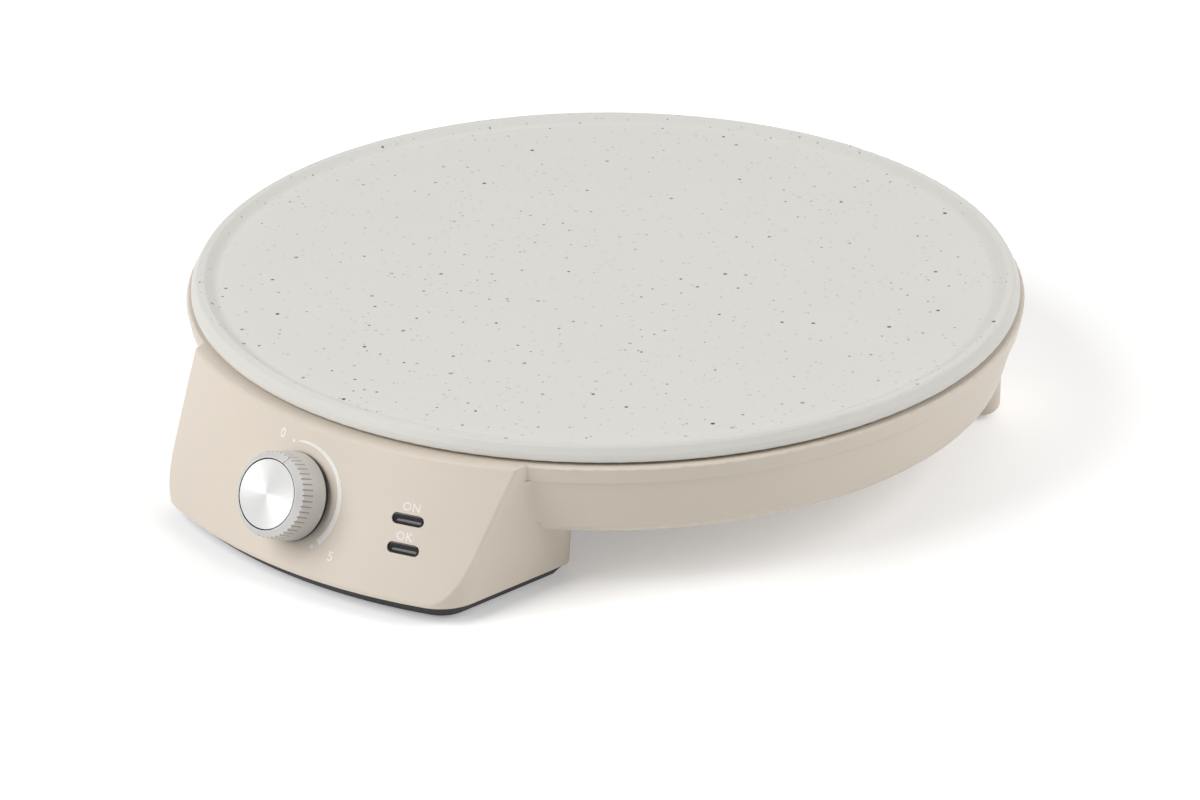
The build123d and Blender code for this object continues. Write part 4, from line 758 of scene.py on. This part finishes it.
@dataclass
class SubAssembly(ABC):
    """Pieces that are made and finished together."""

    def build(self) -> None:
        """Makes the new pieces; most sub-assemblies are complete in the frame."""

    @abstractmethod
    def dress(self) -> None:
        """Gives every piece its finish."""

    def paint(self, finish: Finish, *nodes: str) -> None:
        """Gives nodes of the frame a finish.

        Args:
            finish: The finish.
            nodes: Names of the nodes.
        """
        for node in nodes:
            slots = frame["nodes"][node].data.materials
            slots.clear()
            slots.append(finish.material())
            log.info("%s: %s wears %s", type(self).__name__, node, finish.name)

    def keep(self, piece: bpy.types.Object, finish: Finish, slot: Slot) -> None:
        """Finishes a new piece and fixes it to the body that stays still.

        Args:
            piece: The piece.
            finish: Its finish.
            slot: Its material slot in the record; not used.
        """
        piece.data.materials.clear()
        piece.data.materials.append(finish.material())
        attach(piece, FIXED_BODY)
        log.info("%s: built %s with %d faces", type(self).__name__, piece.name, len(piece.data.polygons))


@dataclass
class CookingUnit(SubAssembly):
    """Hot plate, its heating element, and what carries and guards them."""

    def dress(self) -> None:
        """Ceramic above, plain metals below."""
        self.paint(CERAMIC, "hot_plate")
        self.paint(SHEATH_STEEL, "heating_element")
        self.paint(STEATITE, "element_seals", "insulating_washers")
        self.paint(ZINC_STEEL, "element_tabs", "element_clips", "bulb_clip", "fuse_clip")
        self.paint(ZINC_STEEL, "plate_clip_screws", "plate_screws", "plate_spacers")
        self.paint(ALUMINISED_STEEL, "heat_shield")


@dataclass
class Housing(SubAssembly):
    """Beige moulding, the black cover below it and what it stands on."""

    def dress(self) -> None:
        """Two plastics, rubber feet and steel screws."""
        self.paint(BEIGE_ABS, "housing")
        self.paint(BLACK_PP, "base_cover")
        self.paint(RUBBER, "front_pads", "rear_pads", "inlet_bush")
        self.paint(ZINC_STEEL, "base_screws")


@dataclass
class Thermostat(SubAssembly):
    """Thermostat with its sensor, and the fuse that guards it."""

    def dress(self) -> None:
        """Moulded case, brass and steel fittings, copper capillary."""
        self.paint(PHENOLIC, "thermostat_case")
        self.paint(BRASS, "thermostat_tabs")
        self.paint(ZINC_STEEL, "thermostat_nut", "thermostat_spindle", "thermal_fuse")
        self.paint(COPPER, "sensor_bulb", "capillary_tube")
        self.paint(GLASS_BRAID, "fuse_sleeve")


@dataclass
class Wiring(SubAssembly):
    """Terminal block and the wires from it."""

    def dress(self) -> None:
        """Nylon block, silicone wires."""
        self.paint(NYLON, "terminal_block")
        self.paint(BRASS, "terminal_screws", "earth_tag")
        self.paint(SILICONE_BLACK, "line_wire", "fuse_feed_wire", "fuse_link_wire", "lamp_leads")
        self.paint(SILICONE_BLUE, "neutral_wire")
        self.paint(SILICONE_STRIPED, "earth_wire")


@dataclass
class Knob(SubAssembly):
    """Control knob: lacquered moulding with a turned metal face."""

    def dress(self) -> None:
        """Silver lacquer and spun aluminium."""
        self.paint(SILVER_LACQUER, "knob_body")
        self.paint(SPUN_ALUMINIUM, "knob_cap")
        self.paint(ZINC_STEEL, "knob_spring")


CAPITAL_SHARE = 0.729   # height of a capital in Blender's own font, as a share of its size
WEIGHT_SHARE = 0.03     # strokes thickened by this share of a capital's height
LETTER_SPACING = 1.08   # distance from letter to letter, as a share of the font's own


@dataclass
class PanelPrint:
    """Flat marks on the sloping panel, thin sheets of ink sunk a little into its face.

    Attributes:
        proud: How far the ink stands above the face.
        sunk: How far it reaches below, so that it never parts from the face.
    """

    proud: float = 0.04 * MM
    sunk: float = 0.12 * MM

    def lay(self, piece: bpy.types.Object, azimuth: float, height: float) -> bpy.types.Object:
        """Thickens a flat outline and wraps it onto the panel.

        Args:
            piece: Flat mesh in X, to the right, and Y, up the slope.
            azimuth: Radians round the plate's axis where its origin goes.
            height: Height above the table where its origin goes.

        Returns:
            The same piece, in place.
        """
        apply_modifier(piece, "SOLIDIFY", thickness=self.proud + self.sunk, offset=0.0)
        middle = (self.proud - self.sunk) / 2
        settle(piece, lambda point: FORM.on_panel(azimuth, height, point.x, point.y, point.z + middle))
        return piece

    def words(self, text: str, height: float, across: float, up: float) -> bpy.types.Object:
        """Flat letters or figures, centred on a point.

        Args:
            text: What they say.
            height: Height of a capital letter.
            across: Middle's distance to the right.
            up: Middle's distance up the slope.

        Returns:
            Their mesh, still flat.
        """
        deselect_all()
        bpy.ops.object.text_add(location=(0.0, 0.0, 0.0))
        piece = bpy.context.object
        piece.data.body = text
        piece.data.align_x = "CENTER"
        piece.data.align_y = "CENTER"
        piece.data.size = height / CAPITAL_SHARE
        piece.data.resolution_u = 6
        piece.data.space_character = LETTER_SPACING
        piece.data.offset = WEIGHT_SHARE * height
        bpy.ops.object.convert(target="MESH")
        piece = bpy.context.object
        piece.data.transform(Matrix.Translation((across, up, 0.0)))
        with editing(piece):
            bpy.ops.mesh.select_all(action="SELECT")
            bpy.ops.mesh.remove_doubles(threshold=HAIR)
            bpy.ops.mesh.dissolve_limited(angle_limit=math.radians(0.5))
        return piece

    def disc(self, radius: float, across: float, up: float) -> bpy.types.Object:
        """A round dot."""
        return start(
            "dot", bpy.ops.mesh.primitive_circle_add, vertices=24, radius=radius, fill_type="NGON",
            location=(across, up, 0.0),
        )


@dataclass
class DialScale(SubAssembly):
    """Printed scale round the knob: an arc that widens towards hot, a dot at each end and two figures.

    Attributes:
        ink: How marks are laid on the panel.
        radius: Middle of the arc, from the knob's axis.
        first: Where the arc starts, in degrees clockwise from straight up the slope.
        last: Where it ends.
        thin: Its width at the start.
        wide: Its width at the end.
        swell: Power of the distance along it by which it widens.
        steps: Faces along it.
        dots: Each dot's angle and radius.
        figures: Each figure with its middle's place, to the right and up the slope.
        figure_height: Height of a figure.
    """

    ink: PanelPrint = field(default_factory=PanelPrint)
    radius: float = 19.3 * MM
    first: float = -13.0
    last: float = 130.0
    thin: float = 0.6 * MM
    wide: float = 2.2 * MM
    swell: float = 0.7
    steps: int = 72
    dots: tuple[tuple[float, float], ...] = ((-20.5, 0.6 * MM), (138.5, 0.8 * MM))
    figures: tuple[tuple[str, float, float], ...] = (
        ("0", -12.5 * MM, 19.1 * MM), ("5", 21.3 * MM, -15.9 * MM),
    )
    figure_height: float = 3.5 * MM

    def build(self) -> None:
        """Draws the scale flat, then wraps it onto the panel."""
        marks = [self.arc()]
        for angle, size in self.dots:
            turn = math.radians(angle)
            marks.append(self.ink.disc(size, self.radius * math.sin(turn), self.radius * math.cos(turn)))
        scale = self.ink.lay(join("dial_scale", marks), 0.0, FORM.knob_centre.z)
        self.keep(scale, PALE_INK, Slot.PALE)
        figures = [self.ink.words(text, self.figure_height, across, up) for text, across, up in self.figures]
        figures = self.ink.lay(join("dial_figures", figures), 0.0, FORM.knob_centre.z)
        self.keep(figures, PALE_INK, Slot.PALE)

    def arc(self) -> bpy.types.Object:
        """Bends a strip into a band that widens from its start to its end.

        Returns:
            The band, flat.
        """
        piece = start(
            "arc", bpy.ops.mesh.primitive_grid_add, x_subdivisions=self.steps, y_subdivisions=1, size=1.0,
            location=(0.0, 0.0, 0.0),
        )
        for vertex in piece.data.vertices:
            share = vertex.co.x + 0.5
            turn = math.radians(self.first + share * (self.last - self.first))
            reach = self.radius + vertex.co.y * (self.thin + share**self.swell * (self.wide - self.thin))
            vertex.co = (reach * math.sin(turn), reach * math.cos(turn), 0.0)
        return piece

    def dress(self) -> None:
        """The ink is laid with its finish."""


@dataclass
class IndicatorWindows(SubAssembly):
    """Two dark windows beside the knob, each with a caption above it.

    Attributes:
        ink: How captions are laid on the panel.
        azimuth: Degrees round the plate's axis to the windows' middle.
        height: Height above the table of the point midway between them.
        pitch: From window to window, up the slope.
        length: Length of a lens.
        width: Width of a lens.
        sink: Lens's rim behind the panel's face.
        flange: Flange beyond the lens, all round.
        flange_thickness: Thickness of that flange.
        depth: Lens's back behind the panel's face.
        rim: Width of the flat rim round the lens's dish.
        dish: Steps in to the middle of the dish, each with its width and its depth.
        round: Round of the lens's front edge.
        round_steps: Long and short step of that round's two facets, as shares of it.
        front_normal: Least Z of its normal by which the front face is told from the others.
        captions: Each caption with its middle's place from the point midway.
        caption_height: Height of a capital.
    """

    ink: PanelPrint = field(default_factory=PanelPrint)
    azimuth: float = 15.85
    height: float = 28.6 * MM
    pitch: float = 10.1 * MM
    length: float = 12.0 * MM
    width: float = 3.7 * MM
    sink: float = 0.7 * MM
    flange: float = 1.1 * MM
    flange_thickness: float = 1.0 * MM
    depth: float = 4.1 * MM
    rim: float = 0.25 * MM
    dish: tuple[tuple[float, float], ...] = (
        (0.25 * MM, 0.20 * MM), (0.25 * MM, 0.13 * MM), (0.28 * MM, 0.08 * MM), (0.3 * MM, 0.03 * MM),
    )
    round: float = 0.25 * MM
    round_steps: tuple[float, float] = (0.7, 0.3)
    front_normal: float = 0.9
    captions: tuple[tuple[str, float, float], ...] = (
        ("ON", 0.8 * MM, 9.4 * MM), ("OK", -0.2 * MM, -0.9 * MM),
    )
    caption_height: float = 3.0 * MM

    def build(self) -> None:
        """Makes both lenses and both captions."""
        turn = math.radians(self.azimuth)
        for name, up in (("upper_lens", self.pitch / 2), ("lower_lens", -self.pitch / 2)):
            lens = self.lens(name + "_dished")
            settle(lens, lambda point, up=up: self.in_window(point, up), 30.0)
            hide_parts(name)
            self.keep(lens, SMOKED_ACRYLIC, Slot.LENS)
        captions = [
            self.ink.words(text, self.caption_height, across, up) for text, across, up in self.captions
        ]
        captions = self.ink.lay(join("window_captions", captions), turn, self.height)
        self.keep(captions, PALE_INK, Slot.PALE)

    def in_window(self, point: Vector, up: float) -> Vector:
        """Finds the place of a point of a lens.

        Args:
            point: The point from the window's middle, with Z out of the panel.
            up: The window's middle, up the slope from the point midway between both.

        Returns:
            The point in the object's frame.
        """
        turn = math.radians(self.azimuth)
        origin = FORM.on_panel(turn, self.height, 0.0, 0.0, 0.0)
        across = Vector((math.cos(turn), math.sin(turn), 0.0))
        out = (FORM.on_panel(turn, self.height, 0.0, 0.0, MM) - origin).normalized()
        return origin + point.x * across + (point.y + up) * out.cross(across) + point.z * out

    def lens(self, name: str) -> bpy.types.Object:
        """Models a stadium with a flange behind, a rounded front edge and a shallow dish.

        Args:
            name: The lens's name.

        Returns:
            The lens about the origin, with Z out of the panel.
        """
        piece = start(
            name, bpy.ops.mesh.primitive_cylinder_add, vertices=64, radius=self.width / 2 + self.flange,
            depth=self.flange_thickness, location=(0.0, 0.0, self.flange_thickness / 2 - self.depth),
        )
        with editing(piece):
            self.stretch(piece)
            pick_faces(piece, lambda face: face.normal.z > self.front_normal)
            bpy.ops.mesh.inset(thickness=self.flange)
            rise = self.depth - self.flange_thickness - self.sink
            bpy.ops.mesh.extrude_region_move(TRANSFORM_OT_translate={"value": (0.0, 0.0, rise - self.round)})
            long, short = (self.round * share for share in self.round_steps)
            bpy.ops.mesh.extrude_region_move(TRANSFORM_OT_translate={"value": (0.0, 0.0, long)})
            bpy.ops.mesh.inset(thickness=short)
            bpy.ops.mesh.inset(thickness=long, depth=short)
            bpy.ops.mesh.inset(thickness=self.rim)
            for width, depth in self.dish:
                bpy.ops.mesh.inset(thickness=width, depth=-depth)
            bpy.ops.mesh.select_all(action="SELECT")
            bpy.ops.mesh.normals_make_consistent(inside=False)
        return piece

    def stretch(self, piece: bpy.types.Object) -> None:
        """Pulls the two halves of a cylinder apart along X.

        Args:
            piece: The cylinder, open in edit mode.
        """
        apart = (self.length - self.width) / 2
        for side in (1.0, -1.0):
            bpy.ops.mesh.select_mode(type="VERT")
            mesh = bmesh.from_edit_mesh(piece.data)
            bpy.ops.mesh.select_all(action="DESELECT")
            for vertex in mesh.verts:
                vertex.select_set(vertex.co.x * side > HAIR)
            mesh.select_flush_mode()
            bmesh.update_edit_mesh(piece.data)
            bpy.ops.transform.translate(value=(side * apart, 0.0, 0.0))
        bpy.ops.mesh.select_mode(type="FACE")

    def dress(self) -> None:
        """Finishes what lies behind the lenses."""
        self.paint(SMOKED_ACRYLIC, "upper_lens", "lower_lens")
        self.paint(NYLON, "lamp_holder")
        self.paint(LAMP_GLASS, "neon_lamps")
        self.paint(ZINC_STEEL, "lamp_screws")


# ---------------------------------------------------------------- studio
@dataclass(frozen=True)
class SoftBox:
    """One square lamp that faces the object.

    Attributes:
        name: The lamp's name.
        azimuth: Degrees round the object from the front, to the right.
        elevation: Degrees above the table.
        size: Edge of the square.
        power: Watts.
        distance: From the object's middle.
    """

    name: str
    azimuth: float
    elevation: float
    size: float
    power: float
    distance: float = 2.2

    def build(self) -> None:
        """Hangs the lamp."""
        data = bpy.data.lights.new(self.name, "AREA")
        data.shape = "SQUARE"
        data.size = self.size
        data.energy = self.power
        lamp = bpy.data.objects.new(self.name, data)
        bpy.context.scene.collection.objects.link(lamp)
        turn, lift = math.radians(self.azimuth), math.radians(self.elevation)
        away = Vector((math.sin(turn) * math.cos(lift), -math.cos(turn) * math.cos(lift), math.sin(lift)))
        lamp.location = self.distance * away
        lamp.rotation_euler = away.to_track_quat("Z", "Y").to_euler()


@dataclass
class Studio:
    """Floor, light and camera.

    Attributes:
        azimuth: Camera's angle round the object, in degrees from the front towards the right.
        elevation: Camera's angle above the table, in degrees.
        roll: Camera's turn about its line of sight, in degrees.
        distance: From the camera to the rim's centre along the line of sight.
        right: How far right of the line of sight the rim's centre lies.
        up: How far above the line of sight the rim's centre lies.
        lens: Focal length in millimetres.
        sensor: Width of the camera's sensor in millimetres.
        floor_size: Edge of the square floor.
        floor_colour: sRGB hex colour of the floor.
        floor_roughness: Its roughness.
        floor_lift: Light that the floor adds of its own towards the camera, so that it reads as white.
        floor_near: Distance from the object up to which it adds only that, which keeps the shadow.
        floor_far: Distance from which it adds a full white, beyond the lamps' reach.
        surroundings: Strength of the even light all round.
        boxes: The lamps.
    """

    azimuth: float = 39.7
    elevation: float = 25.843
    roll: float = -0.1767
    distance: float = 1.56002
    right: float = 0.002058
    up: float = 0.050431
    lens: float = 126.0
    sensor: float = 36.0
    floor_size: float = 12.0
    floor_colour: str = "#FAFAFA"
    floor_roughness: float = 0.9
    floor_lift: float = 0.3
    floor_near: float = 0.5
    floor_far: float = 2.0
    surroundings: float = 0.1
    boxes: tuple[SoftBox, ...] = (
        SoftBox("left_box", -26.0, 41.0, 1.5, 36.0),
        SoftBox("right_box", 122.0, 36.0, 1.4, 24.0),
        SoftBox("back_box", -160.0, 50.0, 1.6, 8.0),
    )

    def build(self) -> None:
        """Sets the view, the floor, the lamps and the camera."""
        bpy.context.scene.view_settings.view_transform = "Standard"
        self.camera()
        self.floor()
        for box in self.boxes:
            box.build()
        self.world()

    def camera(self) -> None:
        """Places the camera so that the rim's centre lies where the fields say."""
        turn, lift, roll = (math.radians(v) for v in (self.azimuth, self.elevation, self.roll))
        ahead = Vector((-math.sin(turn) * math.cos(lift), math.cos(turn) * math.cos(lift), -math.sin(lift)))
        level = Vector((math.cos(turn), math.sin(turn), 0.0))
        above = level.cross(ahead)
        across = math.cos(roll) * level + math.sin(roll) * above
        over = -math.sin(roll) * level + math.cos(roll) * above
        data = bpy.data.cameras.new("camera")
        data.lens = self.lens
        data.sensor_width = self.sensor
        data.clip_end = 2 * self.floor_size
        camera = bpy.data.objects.new("camera", data)
        bpy.context.scene.collection.objects.link(camera)
        matrix = Matrix((across, over, -ahead)).transposed().to_4x4()
        matrix.translation = FORM.plate_centre - self.right * across - self.up * over - self.distance * ahead
        camera.matrix_world = matrix
        bpy.context.scene.camera = camera

    def floor(self) -> None:
        """White floor that keeps the object's shadow."""
        floor = start(
            "floor", bpy.ops.mesh.primitive_plane_add, size=self.floor_size, location=(0.0, 0.0, 0.0)
        )
        material = bpy.data.materials.new("painted_floor_white")
        material.use_nodes = True
        tree = material.node_tree
        shader = tree.nodes["Principled BSDF"]
        shader.inputs["Base Color"].default_value = linear(self.floor_colour)
        shader.inputs["Roughness"].default_value = self.floor_roughness
        shader.inputs["Emission Color"].default_value = (1.0, 1.0, 1.0, 1.0)
        place = add_node(tree, "TexCoord").outputs["Object"]
        away = on_vectors(tree, "LENGTH", place, result="Value")
        own = remap(tree, away, self.floor_near, self.floor_far, self.floor_lift, 1.0)
        lift = calculate(tree, "MULTIPLY", seen_directly(tree), own)
        tree.links.new(lift, shader.inputs["Emission Strength"])
        floor.data.materials.append(material)

    def world(self) -> None:
        """Even light all round, white where it is seen or mirrored."""
        world = bpy.data.worlds.new("surroundings")
        world.use_nodes = True
        tree = world.node_tree
        strength = remap(tree, seen_directly(tree), 0.0, 1.0, self.surroundings, 1.0)
        sky = tree.nodes["Background"]
        sky.inputs["Color"].default_value = (1.0, 1.0, 1.0, 1.0)
        tree.links.new(strength, sky.inputs["Strength"])
        bpy.context.scene.world = world


def seen_directly(tree: Tree) -> Socket:
    """Tells rays from the camera from light that falls on things.

    Args:
        tree: Tree that gets the nodes.

    Returns:
        1 for rays from the camera, straight or by mirror or glass, and 0 for others.
    """
    path = add_node(tree, "LightPath").outputs
    either = calculate(tree, "MAXIMUM", path["Is Camera Ray"], path["Is Glossy Ray"])
    return calculate(tree, "MAXIMUM", either, path["Is Transmission Ray"])


def main() -> None:
    """Builds every sub-assembly in order, then the studio."""
    logging.basicConfig(level=logging.INFO, format="%(name)s: %(message)s")
    for part in (
        CookingUnit(), Housing(), Thermostat(), Wiring(), Knob(), DialScale(), IndicatorWindows(),
    ):
        part.build()
        part.dress()
    Studio().build()


if __name__ == "__main__":
    main()
